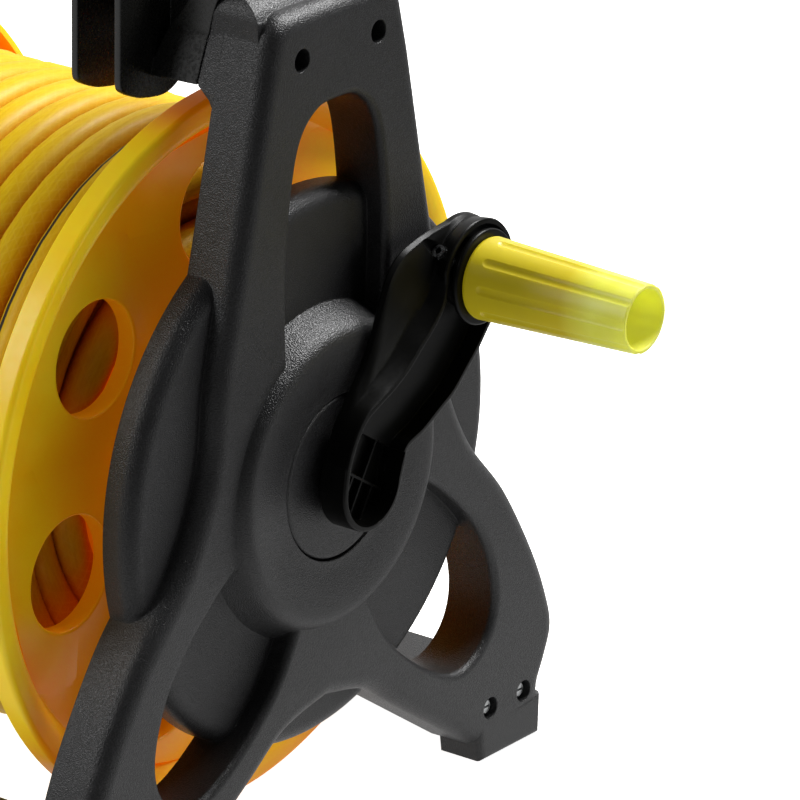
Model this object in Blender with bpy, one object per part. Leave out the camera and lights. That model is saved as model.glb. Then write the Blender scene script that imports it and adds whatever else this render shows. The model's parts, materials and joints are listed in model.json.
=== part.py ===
"""Freestanding hose reel: two A-shaped side frames, a drum wound with hose, a crank and a carry handle.

Frame: metres, +Z up, origin on the floor under the middle of the whole reel. The drum turns about an
axis along X, with the crank at +X and the water inlet at -X. The parts are placed from the middle of
the drum, and an empty there moves them all to the origin. Sizes across the drum are given in Y and Z
from its axis, and sizes of a side frame in X from the outer face of its limbs.
"""
from math import atan2, cos, hypot, pi, radians, sin

import bmesh
import bpy
from mathutils import Matrix, Vector

MM = 0.001

# Stance and side frames
HUB_HEIGHT = 165 * MM
FACE_X = 166 * MM
FRAME_DEPTH = 25 * MM
FRAME_WALL = 3.2 * MM
FRAME_ROUND = 8 * MM
FRAME_TOP = 204 * MM
HEAD_HALF = 50 * MM
FOOT_INNER = 107 * MM
FOOT_OUTER = 149.5 * MM
FOOT_HEIGHT = 19 * MM
FOOT_DEPTH = 22 * MM
FOOT_ROUND = 3 * MM
OPENING_ROUND = 3.5 * MM
SHIELD_RADIUS = 125.5 * MM
SHIELD_FACE = 10 * MM
SHIELD_ROUND = 10 * MM
SHIELD_BACK = 21.5 * MM
BOSS_CREST_RADIUS = 56 * MM
BOSS_FOOT_RADIUS = 67 * MM
BOSS_PROUD = 4.8 * MM
RIB = 2 * MM
RIB_DEPTH = 24 * MM
FRAME_RIBS = 6

# Running fits and clearances
RUN_GAP = 0.4 * MM
FIT_GAP = 0.3 * MM

# Bearings and drive line
JOURNAL_RADIUS = 16 * MM
SLEEVE_WALL = 4 * MM
SLEEVE_END = 34 * MM
HUB_DISC_RADIUS = 35.5 * MM
HUB_DISC_PROUD = 2.8 * MM
HUB_DISC_THICK = 6 * MM
HUB_DISC_BEVEL = 2.2 * MM
DRIVE_SIDE = 20 * MM
TANG_SIDE = 13 * MM
TANG_LENGTH = 22 * MM
DRIVE_SCREW_RADIUS = 2.5 * MM

# Drum
WINDING_WIDTH = 200 * MM
FLANGE_RADIUS = 156.5 * MM
FLANGE_WALL = 2.6 * MM
RIM_RISE = 16 * MM
RIM_WIDTH = 19 * MM
FLANGE_HUB_RADIUS = 24 * MM
FLANGE_HOLES = 7
HOLE_RADIUS = 24.5 * MM
HOLE_PITCH = 103 * MM
HOLE_PHASE = radians(144)
COLLAR_RISE = 5.5 * MM
COLLAR_FLARE = 6.5 * MM
BARREL_RADIUS = 71.5 * MM
BARREL_WALL = 2.8 * MM
SPIGOT_DEPTH = 5 * MM
FLANGE_RIBS = 6

# Hose
HOSE_DIAMETER = 17 * MM
COIL_RADIUS = 134.2 * MM
FIRST_TURN_X = WINDING_WIDTH / 2 - 14 * MM
TAIL_GAP = 0.6 * MM
TAIL_START = radians(-25)
TAIL_END = radians(-84)
TAIL_X = 32 * MM - WINDING_WIDTH / 2
CONNECTOR_RADIUS = 12 * MM
CONNECTOR_LENGTH = 42 * MM

# Frame screws and tie bars
SCREW_HEAD_RADIUS = 4.2 * MM
SCREW_HEAD_HEIGHT = 2.4 * MM
SCREW_RADIUS = 2.0 * MM
SCREW_LENGTH = 36 * MM
SCREW_RECESS_RADIUS = 4.9 * MM
COLUMN_RADIUS = 7.5 * MM
TOP_SCREW_Y = 25 * MM
TOP_SCREW_Z = 183.5 * MM
TOP_SCREW_SEAT = 10 * MM
FOOT_SCREW_Y = 124 * MM
FOOT_SCREW_HALF_SPACING = 12 * MM
FOOT_SCREW_Z = 24 * MM - HUB_HEIGHT
FOOT_SCREW_SEAT = 5 * MM
BAR_WIDTH = 41 * MM
BAR_HEIGHT = 16 * MM
BAR_WALL = 3 * MM
BAR_END_BLOCK = 20 * MM

# Crank
ARM_FRONT = 20 * MM
ARM_BACK = 6.2 * MM
ARM_WALL = 2.2 * MM
ARM_FLOOR = 12 * MM
ARM_HUB_FLOOR = 8.8 * MM
ARM_HUB_RADIUS = 19.8 * MM
ARM_TIP_RADIUS = 24.2 * MM
CRANK_Y = 70 * MM
CRANK_Z = 71.5 * MM
PIN_RADIUS = 2.8 * MM
PIN_BORE = 1.5 * MM
PIN_X = 12.6 * MM
PIN_OFFSET = 3 * MM
GRIP_START = 23.4 * MM
GRIP_LENGTH = 79.5 * MM
GRIP_BASE_RADIUS = 17.6 * MM
GRIP_END_RADIUS = 14.7 * MM
GRIP_WALL = 2.0 * MM
GRIP_FLUTES = 8
FLUTE_RADIUS = 4.2 * MM
FLUTE_DEPTH = 0.7 * MM
SPINDLE_RADIUS = 9.0 * MM
SPINDLE_LENGTH = 50 * MM
SPINDLE_BLOCK_RADIUS = 14 * MM
SPINDLE_FLANGE_RADIUS = 20.4 * MM
SPINDLE_FLANGE = 2.6 * MM

# Carry handle
HANDLE_TOP = 300 * MM
HANDLE_GRIP_HEIGHT = 27 * MM
HANDLE_GRIP_HALF = 17 * MM
FIN_X = (103 * MM, 84 * MM)
FIN_WALL = 3.4 * MM
ROOT_HALF = 52 * MM
CORE_HALF = 37 * MM

# Water inlet
PIPE_RADIUS = 8.1 * MM
INLET_SPIGOT_RADIUS = 8.2 * MM
JOURNAL_BORE = 8.6 * MM
JOURNAL_PLUG_RADIUS = 12 * MM
INLET_REACH = 58 * MM
NOZZLE_NECK_RADIUS = 10 * MM
NOZZLE_X = 19.8 * MM
NECK_CAP = 1 * MM
NUT_RADIUS = 21 * MM


def clear_scene():
    for obj in list(bpy.data.objects):
        bpy.data.objects.remove(obj, do_unlink=True)


def moulding(name, colour, roughness, metallic=0.0):
    """A Principled material for one kind of part."""
    material = bpy.data.materials.new(name)
    material.use_nodes = True
    shader = material.node_tree.nodes["Principled BSDF"]
    shader.inputs["Base Color"].default_value = (*colour, 1)
    shader.inputs["Roughness"].default_value = roughness
    shader.inputs["Metallic"].default_value = metallic
    return material


def mesh_object(name, bm):
    bmesh.ops.recalc_face_normals(bm, faces=bm.faces)
    mesh = bpy.data.meshes.new(name)
    bm.to_mesh(mesh)
    bm.free()
    obj = bpy.data.objects.new(name, mesh)
    bpy.context.scene.collection.objects.link(obj)
    return obj


def finish(obj, material, location=(0, 0, 0), turn=0.0, edge=35):
    """Gives a sub-part its material, its smooth shading and its place."""
    merge_flats(obj)
    obj.data.materials.clear()
    obj.data.materials.append(material)
    obj.data.shade_smooth()
    obj.data.set_sharp_from_angle(angle=radians(edge))
    obj.location = location
    obj.rotation_euler = (0, 0, turn)
    return obj


def arc(centre, radius, start, end, count):
    """Points on an arc, with its ends, at angles in degrees."""
    angles = [radians(start + (end - start) * i / count) for i in range(count + 1)]
    return [(centre[0] + radius * cos(a), centre[1] + radius * sin(a)) for a in angles]


def smooth(points, steps=2):
    """A Catmull-Rom curve through the points, given in millimetres, as points in metres."""
    ends = [points[0]] + list(points) + [points[-1]]
    curve = []
    for a, b, c, d in zip(ends, ends[1:], ends[2:], ends[3:]):
        for i in range(steps):
            t = i / steps
            curve.append(tuple(
                MM * 0.5 * (2 * q + (r - p) * t + (2 * p - 5 * q + 4 * r - s) * t * t
                            + (3 * q - p - 3 * r + s) * t ** 3)
                for p, q, r, s in zip(a, b, c, d)))
    curve.append((MM * points[-1][0], MM * points[-1][1]))
    return curve


def mirrored(half):
    """A closed outline from its +Y half, whose two ends lie on the middle line."""
    return half + [(-y, z) for y, z in half[-2:0:-1]]


def area(ring):
    return sum(a[0] * b[1] - b[0] * a[1] for a, b in zip(ring, ring[1:] + ring[:1])) / 2


def inset(ring, distance):
    """The outline moved inwards by a distance, outwards if it is negative, with mitred corners."""
    side = 1 if area(ring) > 0 else -1
    moved = []
    for before, here, after in zip(ring[-1:] + ring[:-1], ring, ring[1:] + ring[:1]):
        first = Vector((here[0] - before[0], here[1] - before[1])).normalized()
        second = Vector((after[0] - here[0], after[1] - here[1])).normalized()
        normal = Vector((-first.y - second.y, first.x + second.x)).normalized() * side
        spread = max(normal.dot(Vector((-first.y, first.x))) * side, 0.5)
        moved.append((here[0] + normal.x * distance / spread, here[1] + normal.y * distance / spread))
    return moved


def loft(name, rings):
    """A closed solid through rings of points, with flat ends."""
    bm = bmesh.new()
    loops = [[bm.verts.new(point) for point in ring] for ring in rings]
    count = len(rings[0])
    for low, high in zip(loops, loops[1:]):
        for i in range(count):
            j = (i + 1) % count
            bm.faces.new((low[i], low[j], high[j], high[i]))
    bm.faces.new(loops[0][::-1])
    bm.faces.new(loops[-1])
    return mesh_object(name, bm)


def plate(name, ring, low, high):
    """An outline in Y and Z, extruded along X."""
    return loft(name, [[(x, y, z) for y, z in ring] for x in (low, high)])


def rounded_plate(name, ring, low, high, radius, draft=0.0, steps=3):
    """An extrusion along X whose front edge is rounded and whose sides taper to the front."""
    rings = [[(low, y, z) for y, z in ring]]
    for i in range(steps + 1):
        angle = pi / 2 * i / steps
        x = high - radius + radius * sin(angle)
        rings.append([(x, y, z) for y, z in inset(ring, draft + radius * (1 - cos(angle)))])
    return loft(name, rings)


def side_plate(name, ring, low, high):
    """An outline in X and Z, extruded along Y."""
    return loft(name, [[(x, y, z) for x, z in ring] for y in (low, high)])


def turned(name, profile, steps=48, centre=(0, 0)):
    """A profile of X and radius, turned about an axis along X. Ends on the axis close it."""
    bm = bmesh.new()
    verts = [bm.verts.new((x, radius, 0)) for x, radius in profile]
    edges = [bm.edges.new(pair) for pair in zip(verts, verts[1:])]
    if profile[0][1] > 0:
        edges.append(bm.edges.new((verts[-1], verts[0])))
    bmesh.ops.spin(bm, geom=verts + edges, cent=(0, 0, 0), axis=(1, 0, 0), angle=2 * pi,
                   steps=steps, use_merge=True)
    bmesh.ops.remove_doubles(bm, verts=bm.verts, dist=1e-6)
    bmesh.ops.translate(bm, verts=bm.verts, vec=(0, *centre))
    return mesh_object(name, bm)


def rod(name, radius, low, high, centre=(0, 0), steps=24):
    """A cylinder along X."""
    return turned(name, [(low, 0), (low, radius), (high, radius), (high, 0)], steps, centre)


def box(name, low, high):
    bm = bmesh.new()
    bmesh.ops.create_cube(bm, size=1)
    size = Vector(high) - Vector(low)
    middle = (Vector(high) + Vector(low)) / 2
    bmesh.ops.transform(bm, verts=bm.verts, matrix=Matrix.Translation(middle) @ Matrix.Diagonal((*size, 1)))
    return mesh_object(name, bm)


def turn_about_x(obj, angle):
    obj.data.transform(Matrix.Rotation(angle, 4, "X"))
    return obj


def combine(target, tool, operation, solver="EXACT"):
    """Applies a Boolean to the target and removes the tool."""
    modifier = target.modifiers.new(operation.lower(), "BOOLEAN")
    modifier.operation = operation
    modifier.solver = solver
    modifier.object = tool
    graph = bpy.context.evaluated_depsgraph_get()
    mesh = bpy.data.meshes.new_from_object(target.evaluated_get(graph))
    target.modifiers.clear()
    target.data = mesh
    bpy.data.objects.remove(tool, do_unlink=True)
    return target


def merge_flats(obj, angle=0.4):
    """Joins faces that lie in one plane and drops the points that stand on straight edges."""
    bm = bmesh.new()
    bm.from_mesh(obj.data)
    bmesh.ops.remove_doubles(bm, verts=bm.verts, dist=5e-6)
    bmesh.ops.dissolve_limit(bm, angle_limit=radians(angle), verts=bm.verts, edges=bm.edges)
    bmesh.ops.triangulate(bm, faces=bm.faces)
    bm.to_mesh(obj.data)
    bm.free()
    return obj


def cut(target, tool, solver="EXACT"):
    return combine(target, tool, "DIFFERENCE", solver)


def add(target, tool, solver="EXACT"):
    return combine(target, tool, "UNION", solver)


# Side frame: one moulding, used at both ends
def limb_outline():
    """The A shape: a neck, two bowed legs and the arch between them."""
    floor = -HUB_HEIGHT / MM
    side = [(50, 170), (62, 116), (75, 60), (80, 22), (97, -13), (124, -44), (146, -79), (158, floor + 59),
            (160, floor + 46), (156, floor + 34), (151, floor + 23), (150, floor + 13)]
    arch = [(104, floor + 8), (74, floor + 28), (50, -119.5), (28, -103.5), (0, -96)]
    corner = 13 * MM
    shoulder = arc((44 * MM - corner, FRAME_TOP - corner), corner, 90, 10, 3)
    return mirrored([(0, FRAME_TOP)] + shoulder + smooth(side) + smooth(arch))


def neck_opening():
    """The slot in the neck, rounded at its top and running down behind the boss."""
    side = [(32, 40), (34, 92), (31, 127), (25, 150), (13, 161), (0, 162.5)]
    return mirrored([(0, 40 * MM)] + smooth(side))


def leg_opening(side):
    """The egg-shaped slot in one leg, running in behind the boss."""
    rim = [(42, -20), (62, -20.5), (87.5, -39), (107, -62), (115.5, -88), (111, -107), (96, -118),
           (79, -116), (56, -102), (35, -82), (21, -56), (20, -40)]
    return [(side * y, z) for y, z in smooth(rim)]


def foot_outline(side):
    low = -HUB_HEIGHT
    top = low + FOOT_HEIGHT
    return [(side * FOOT_INNER, low), (side * FOOT_OUTER, low), (side * (FOOT_OUTER + 0.5 * MM), top),
            (side * (FOOT_INNER - 3 * MM), top)]


def head_block():
    """The thicker head of the neck, to which the carry handle is screwed."""
    profile = [(-8, 172), (-8, 199), (-10.5, 204.5), (-16, 208), (-22, 210.5), (-26.5, 209), (-30, 202),
               (-32.5, 191), (-34, 174), (-31, 169.5), (-25, 167), (-20, 166)]
    block = side_plate("head_block", [(x * MM, z * MM) for x, z in profile], -HEAD_HALF, HEAD_HALF)
    corner = 14 * MM
    shoulder = arc((46 * MM - corner, 213 * MM - corner), corner, 90, 8, 3)
    front = mirrored([(0, 213 * MM)] + shoulder + [(49.6 * MM, 170 * MM), (50.2 * MM, 160 * MM), (0, 160 * MM)])
    return combine(block, plate("head_front", front, -50 * MM, 0), "INTERSECT")


def shield_profile():
    """Half section of the round shield and of the raised boss that the crank's hub sits in."""
    turn = SHIELD_ROUND
    rim = [(x, r) for r, x in arc((SHIELD_RADIUS - turn, -SHIELD_FACE - turn), turn, 0, 90, 2)]
    crest = BOSS_PROUD
    boss = [(-SHIELD_FACE, BOSS_FOOT_RADIUS), (0, 63.5 * MM), (crest - 1.4 * MM, BOSS_CREST_RADIUS + 4 * MM),
            (crest, BOSS_CREST_RADIUS), (crest - 1.9 * MM, HUB_DISC_RADIUS + 4 * MM), (crest - 1.9 * MM, 0)]
    return [(-SHIELD_BACK, 0), (-SHIELD_BACK, SHIELD_RADIUS)] + rim + boss


def recess_floor():
    """X of the floor behind the crank hub's disc."""
    return HUB_DISC_PROUD - HUB_DISC_THICK - FIT_GAP


def shield_hollow_profile():
    """Half section of the hollow behind the shield and the boss."""
    wall = FRAME_WALL
    turn = SHIELD_ROUND - wall
    radius = SHIELD_RADIUS - wall
    face = -SHIELD_FACE - wall
    rim = [(x, r) for r, x in arc((radius - turn, face - turn), turn, 0, 90, 2)]
    boss = [(face, 62 * MM), (-1 * MM, 58 * MM), (-1 * MM, 0)]
    return [(-50 * MM, 0), (-50 * MM, radius)] + rim + boss


def screw_places():
    """Y, Z and seat depth of each screw of one side frame."""
    places = [(side * TOP_SCREW_Y, TOP_SCREW_Z, TOP_SCREW_SEAT) for side in (1, -1)]
    for side in (1, -1):
        for step in (-1, 1):
            y = side * (FOOT_SCREW_Y + step * FOOT_SCREW_HALF_SPACING)
            places.append((y, FOOT_SCREW_Z, FOOT_SCREW_SEAT))
    return places


def rib_box(angle, near, far, depth=RIB_DEPTH):
    """A thin rib in the plane of the drum's axis, between two radii."""
    return turn_about_x(box("rib", (-depth, near, -RIB / 2), (5 * MM, far, RIB / 2)), angle)


def cross_rib(y, z, tilt, half):
    """A thin rib across a limb, at a place and a tilt in degrees."""
    rib = box("cross_rib", (-FRAME_DEPTH + 1 * MM, -half, -RIB / 2), (0, half, RIB / 2))
    rib.data.transform(Matrix.Translation((0, y, z)) @ Matrix.Rotation(radians(tilt), 4, "X"))
    return rib


def frame_hollow():
    """The space inside a side frame, open at its back, round its ribs, sleeve and screw columns."""
    hollow = plate("hollow", inset(limb_outline(), FRAME_WALL), -50 * MM, -FRAME_WALL)
    for ring in openings():
        cut(hollow, plate("collar", inset(ring, -FRAME_WALL), -60 * MM, 10 * MM))
    for side in (1, -1):
        foot = inset(foot_outline(side), FRAME_WALL)
        add(hollow, plate("foot_hollow", foot, -51 * MM, -FRAME_WALL - FIT_GAP), "MANIFOLD")
    add(hollow, turned("shield_hollow", shield_hollow_profile(), 24), "MANIFOLD")
    for y, z, seat in screw_places():
        cut(hollow, rod("column", COLUMN_RADIUS, -60 * MM, 0, (y, z), 6), "MANIFOLD")
    cut(hollow, rod("sleeve", JOURNAL_RADIUS + RUN_GAP + SLEEVE_WALL, -60 * MM, 0, steps=20), "MANIFOLD")
    floor = recess_floor() - FRAME_WALL
    cut(hollow, rod("recess_wall", HUB_DISC_RADIUS + 3.8 * MM, floor, 5 * MM, steps=20), "MANIFOLD")
    for i in range(FRAME_RIBS):
        angle = 2 * pi / FRAME_RIBS * (i + 0.5)
        rib = rib_box(angle, JOURNAL_RADIUS + 2 * MM, SHIELD_RADIUS - 1 * MM, SHIELD_BACK - 1 * MM)
        cut(hollow, rib, "MANIFOLD")
    for side in (1, -1):
        for y, z, tilt, half in ((54, 118, 0, 18), (130, -66, -38, 20)):
            cut(hollow, cross_rib(side * y * MM, z * MM, side * tilt, half * MM), "MANIFOLD")
    return hollow


def openings():
    return [neck_opening(), leg_opening(1), leg_opening(-1)]


def flared_cutter(ring):
    """A cutter for an opening whose front edge is rounded outwards."""
    wall = inset(ring, OPENING_ROUND * 0.4)
    rings = [[(x, y, z) for y, z in wall] for x in (-30 * MM, -OPENING_ROUND)]
    for angle in (45, 90):
        x = -OPENING_ROUND * (1 - sin(radians(angle)))
        flare = inset(wall, -OPENING_ROUND * (1 - cos(radians(angle))))
        rings.append([(x, y, z) for y, z in flare])
    rings.append([(5 * MM, y, z) for x, y, z in rings[-1]])
    return loft("opening", rings)


def side_frame():
    """One side frame in its own place: axis at the origin, limbs' face at X = 0."""
    frame = rounded_plate("side_frame_crank", limb_outline(), -FRAME_DEPTH, 0, FRAME_ROUND, 0.4 * MM, 2)
    for ring in openings():
        cut(frame, flared_cutter(ring))
    add(frame, head_block(), "MANIFOLD")
    for side in (1, -1):
        foot = rounded_plate("foot", foot_outline(side), -FOOT_DEPTH, -0.15 * MM, FOOT_ROUND, steps=2)
        add(frame, foot, "MANIFOLD")
    add(frame, turned("shield", shield_profile(), 40), "MANIFOLD")
    outer = JOURNAL_RADIUS + RUN_GAP + SLEEVE_WALL
    add(frame, rod("sleeve", outer, -SLEEVE_END, recess_floor() - 1 * MM, steps=20), "MANIFOLD")
    cut(frame, rod("recess", HUB_DISC_RADIUS + RUN_GAP, recess_floor(), 20 * MM, steps=36), "MANIFOLD")
    cut(frame, rod("bore", JOURNAL_RADIUS + RUN_GAP, -60 * MM, 20 * MM, steps=20), "MANIFOLD")
    for y, z, seat in screw_places():
        cut(frame, rod("screw_bore", SCREW_RADIUS + FIT_GAP, -60 * MM, 20 * MM, (y, z), 8), "MANIFOLD")
        cut(frame, rod("screw_recess", SCREW_RECESS_RADIUS, -seat, 20 * MM, (y, z), 8), "MANIFOLD")
    cut(frame, frame_hollow(), "MANIFOLD")
    return frame


def side_frames(material):
    crank = finish(side_frame(), material, (FACE_X, 0, HUB_HEIGHT))
    inlet = bpy.data.objects.new("side_frame_inlet", crank.data)
    bpy.context.scene.collection.objects.link(inlet)
    inlet.location = (-FACE_X, 0, HUB_HEIGHT)
    inlet.rotation_euler = (0, 0, pi)


# Frame screws and tie bars
def screw_mesh():
    """A pan head screw along X: the head's seat at X = 0, its shank towards -X."""
    half = SCREW_HEAD_HEIGHT / 2
    profile = [(-SCREW_LENGTH, 0), (-SCREW_LENGTH + 2 * MM, SCREW_RADIUS), (0, SCREW_RADIUS),
               (0, SCREW_HEAD_RADIUS), (half, SCREW_HEAD_RADIUS), (2 * half, SCREW_HEAD_RADIUS - 1.2 * MM),
               (2 * half, 0)]
    screw = turned("frame_screw", profile, 8)
    return cut(screw, box("slot", (half, -2.2 * MM, -0.5 * MM), (4 * MM, 2.2 * MM, 0.5 * MM)))


def frame_screws(material):
    first = finish(screw_mesh(), material)
    number = 0
    for end in (1, -1):
        for y, z, seat in screw_places():
            number += 1
            obj = bpy.data.objects.new(f"frame_screw_{number}", first.data)
            bpy.context.scene.collection.objects.link(obj)
            obj.location = (end * (FACE_X - seat + FIT_GAP), end * y, HUB_HEIGHT + z)
            obj.rotation_euler = (0, 0, 0 if end > 0 else pi)
    bpy.data.objects.remove(first, do_unlink=True)


def tie_bar(name, side, material):
    """A channel open below, with a solid block at each end for the screws."""
    end = FACE_X - FRAME_DEPTH - FIT_GAP
    bar = box(name, (-end, -BAR_WIDTH / 2, -BAR_HEIGHT / 2), (end, BAR_WIDTH / 2, BAR_HEIGHT / 2))
    modifier = bar.modifiers.new("edges", "BEVEL")
    modifier.width = 2 * MM
    modifier.segments = 2
    graph = bpy.context.evaluated_depsgraph_get()
    bar.data = bpy.data.meshes.new_from_object(bar.evaluated_get(graph))
    bar.modifiers.clear()
    bays = 4
    length = (2 * (end - BAR_END_BLOCK) - (bays - 1) * RIB) / bays
    for i in range(bays):
        low = -end + BAR_END_BLOCK + i * (length + RIB)
        half = BAR_WIDTH / 2 - BAR_WALL
        cut(bar, box("bay", (low, -half, -BAR_HEIGHT), (low + length, half, BAR_HEIGHT / 2 - BAR_WALL)))
    reach = SCREW_LENGTH - (FRAME_DEPTH - FOOT_SCREW_SEAT) + 1 * MM
    for x in (end, -end):
        for step in (-1, 1):
            low, high = sorted((x, x * (1 - reach / end)))
            overrun = 5 * MM if x > 0 else 0
            low -= 5 * MM - overrun
            cut(bar, rod("pilot", SCREW_RADIUS + FIT_GAP, low, high + overrun,
                         (step * FOOT_SCREW_HALF_SPACING, 0), 8))
    finish(bar, material, (0, side * FOOT_SCREW_Y, HUB_HEIGHT + FOOT_SCREW_Z))


# Carry handle: one moulding across both side frames
def fin_outline():
    """An end plate of the handle: lobed foot over the drum's rim, narrowing up to the grip."""
    foot = [(0, 172), (24, 171.5), (31, 164), (40, 160.5), (54, 161.5), (64, 165), (68.5, 173)]
    side = [(68.5, 212), (63, 234), (48, 258), (30, 276), (15, 288)]
    top = HANDLE_TOP - 4 * MM
    return mirrored([(y * MM, z * MM) for y, z in foot] + smooth(side, 1) + [(15 * MM, top), (0, top)])


def root_outline():
    """Side view of the gusset that meets the head of a side frame."""
    front = [(-34.4, 172.4), (-34.4, 174), (-32.9, 191), (-30.4, 202.2), (-26.9, 209.5), (-22, 211)]
    rear = [(-22, 214), (-29, 217), (-37, 214.5), (-41.6, 207), (-45.5, 200.6), (-51.8, 192.6), (-55.8, 183),
            (-59.6, 171.6)]
    return [(x * MM, z * MM) for x, z in front + rear]


def handle_root():
    """One gusset with its hollow underside and its screw columns, in the side frame's place."""
    gap = FACE_X - FIN_X[0]
    root = side_plate("root", root_outline(), -ROOT_HALF, ROOT_HALF)
    core = [(-36, 174), (-36, 208), (-44, 222), (-gap / MM, 228), (-gap / MM, 173)]
    add(root, side_plate("core", [(x * MM, z * MM) for x, z in core], -CORE_HALF, CORE_HALF))
    wall = 3 * MM
    inner = [(-38, 160), (-38, 206), (-46, 217), (-gap / MM + 3.4, 222), (-gap / MM + 3.4, 160)]
    pocket = side_plate("pocket", [(x * MM, z * MM) for x, z in inner], wall - CORE_HALF, CORE_HALF - wall)
    for side in (1, -1):
        place = (side * TOP_SCREW_Y, TOP_SCREW_Z)
        cut(pocket, rod("column", COLUMN_RADIUS, -80 * MM, 0, place, 12))
    cut(root, pocket)
    for side in (1, -1):
        cheek = [(-38, 160), (-36.5, 190), (-34, 206), (-38, 207), (-43, 199), (-48.6, 191), (-52.6, 181),
                 (-55, 160)]
        low, high = sorted((side * (CORE_HALF + 1 * MM), side * (ROOT_HALF - wall)))
        cut(root, side_plate("cheek", [(x * MM, z * MM) for x, z in cheek], low, high))
        deep = TOP_SCREW_SEAT + SCREW_LENGTH + 1 * MM
        cut(root, rod("pilot", SCREW_RADIUS + FIT_GAP, -deep, 0, (side * TOP_SCREW_Y, TOP_SCREW_Z), 8))
    return root


def carry_handle(material):
    corner = 11 * MM
    half = HANDLE_GRIP_HALF
    low = HANDLE_TOP - HANDLE_GRIP_HEIGHT
    ring = (arc((half - corner, HANDLE_TOP - corner), corner, 90, 0, 4)
            + arc((half - corner, low + corner), corner, 0, -90, 4))
    end = FIN_X[0] + 4 * MM
    handle = plate("carry_handle", mirrored([(0, HANDLE_TOP)] + ring + [(0, low)]), -end, end)
    for side in (1, -1):
        for x in FIN_X:
            inner, outer = sorted((side * (x - FIN_WALL / 2), side * (x + FIN_WALL / 2)))
            add(handle, plate("fin", fin_outline(), inner, outer))
        near, far = sorted((side * FIN_X[1], side * FIN_X[0]))
        add(handle, box("web", (near, -2 * MM, 173 * MM), (far, 2 * MM, 290 * MM)))
        for height, reach in ((187, 66), (222, 64), (254, 46)):
            add(handle, box("shelf", (near, -reach * MM, height * MM), (far, reach * MM, height * MM + RIB)))
        root = handle_root()
        root.data.transform(Matrix.Rotation(0 if side > 0 else pi, 4, "Z") @ Matrix.Translation((FACE_X, 0, 0)))
        add(handle, root)
    finish(handle, material, (0, 0, HUB_HEIGHT))


# Drum
def flange_profile(hub_length):
    """Half section of a flange, outwards from its winding side: hub, web, cone and rolled rim."""
    wall = FLANGE_WALL
    rim = FLANGE_RADIUS
    cone = rim - RIM_WIDTH
    return [(hub_length, 0), (hub_length, FLANGE_HUB_RADIUS), (wall, FLANGE_HUB_RADIUS + 1 * MM),
            (wall, cone), (RIM_RISE - 1.6 * MM, rim - 12 * MM), (RIM_RISE, rim - 9.5 * MM),
            (RIM_RISE, rim - 3.5 * MM), (RIM_RISE - 2.4 * MM, rim), (5 * MM, rim),
            (5 * MM, rim - wall), (RIM_RISE - 2.6 * MM, rim - wall),
            (RIM_RISE - 2.6 * MM, rim - 8 * MM), (0, cone + 2 * MM), (0, 0)]


def flange_body(name, hub_length):
    """A drum flange with its ring of collared holes, its hub ribs and its locating ring."""
    flange = turned(name, flange_profile(hub_length), 44)
    for i in range(FLANGE_RIBS):
        rib = box("rib", (1 * MM, 20 * MM, -RIB / 2), (hub_length - 5 * MM, 62 * MM, RIB / 2))
        for vertex in rib.data.vertices:
            if vertex.co.x > 2 * MM and vertex.co.y > 30 * MM:
                vertex.co.x = 4 * MM
        add(flange, turn_about_x(rib, 2 * pi * (i + 0.5) / FLANGE_RIBS), "MANIFOLD")
    for i in range(FLANGE_HOLES):
        angle = HOLE_PHASE + 2 * pi * i / FLANGE_HOLES
        centre = (HOLE_PITCH * cos(angle), HOLE_PITCH * sin(angle))
        top = FLANGE_WALL + COLLAR_RISE
        collar = [(1 * MM, 0), (1 * MM, HOLE_RADIUS + COLLAR_FLARE), (FLANGE_WALL, HOLE_RADIUS + COLLAR_FLARE),
                  (top, HOLE_RADIUS + 1.6 * MM), (top, 0)]
        add(flange, turned("collar", collar, 16, centre), "MANIFOLD")
    for i in range(FLANGE_HOLES):
        angle = HOLE_PHASE + 2 * pi * i / FLANGE_HOLES
        centre = (HOLE_PITCH * cos(angle), HOLE_PITCH * sin(angle))
        cut(flange, rod("hole", HOLE_RADIUS, -5 * MM, 40 * MM, centre, 16), "MANIFOLD")
    bore = BARREL_RADIUS - BARREL_WALL - FIT_GAP
    ring = [(-SPIGOT_DEPTH, bore - 2.4 * MM), (1 * MM, bore - 2.4 * MM), (1 * MM, bore), (-SPIGOT_DEPTH, bore)]
    add(flange, turned("locating_ring", ring, 20), "MANIFOLD")
    return flange


def drive_flange(material):
    """The crank's side: a square socket for the drive and a seat for its screw."""
    hub_length = FACE_X - SLEEVE_END - FIT_GAP - WINDING_WIDTH / 2
    flange = flange_body("drum_flange_crank", hub_length)
    half = DRIVE_SIDE / 2 + FIT_GAP
    cut(flange, box("socket", (4 * MM, -half, -half), (60 * MM, half, half)), "MANIFOLD")
    cut(flange, rod("screw_bore", DRIVE_SCREW_RADIUS + FIT_GAP, -10 * MM, 20 * MM, steps=10), "MANIFOLD")
    finish(flange, material, (WINDING_WIDTH / 2, 0, HUB_HEIGHT))


def inlet_flange(material):
    """The water side, bored for the plug of the hollow journal."""
    hub_length = FACE_X - SLEEVE_END - FIT_GAP - WINDING_WIDTH / 2
    flange = flange_body("drum_flange_inlet", hub_length)
    cut(flange, rod("plug_bore", JOURNAL_PLUG_RADIUS + FIT_GAP, -10 * MM, 90 * MM, steps=24), "MANIFOLD")
    finish(flange, material, (-WINDING_WIDTH / 2, 0, HUB_HEIGHT), pi)


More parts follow.
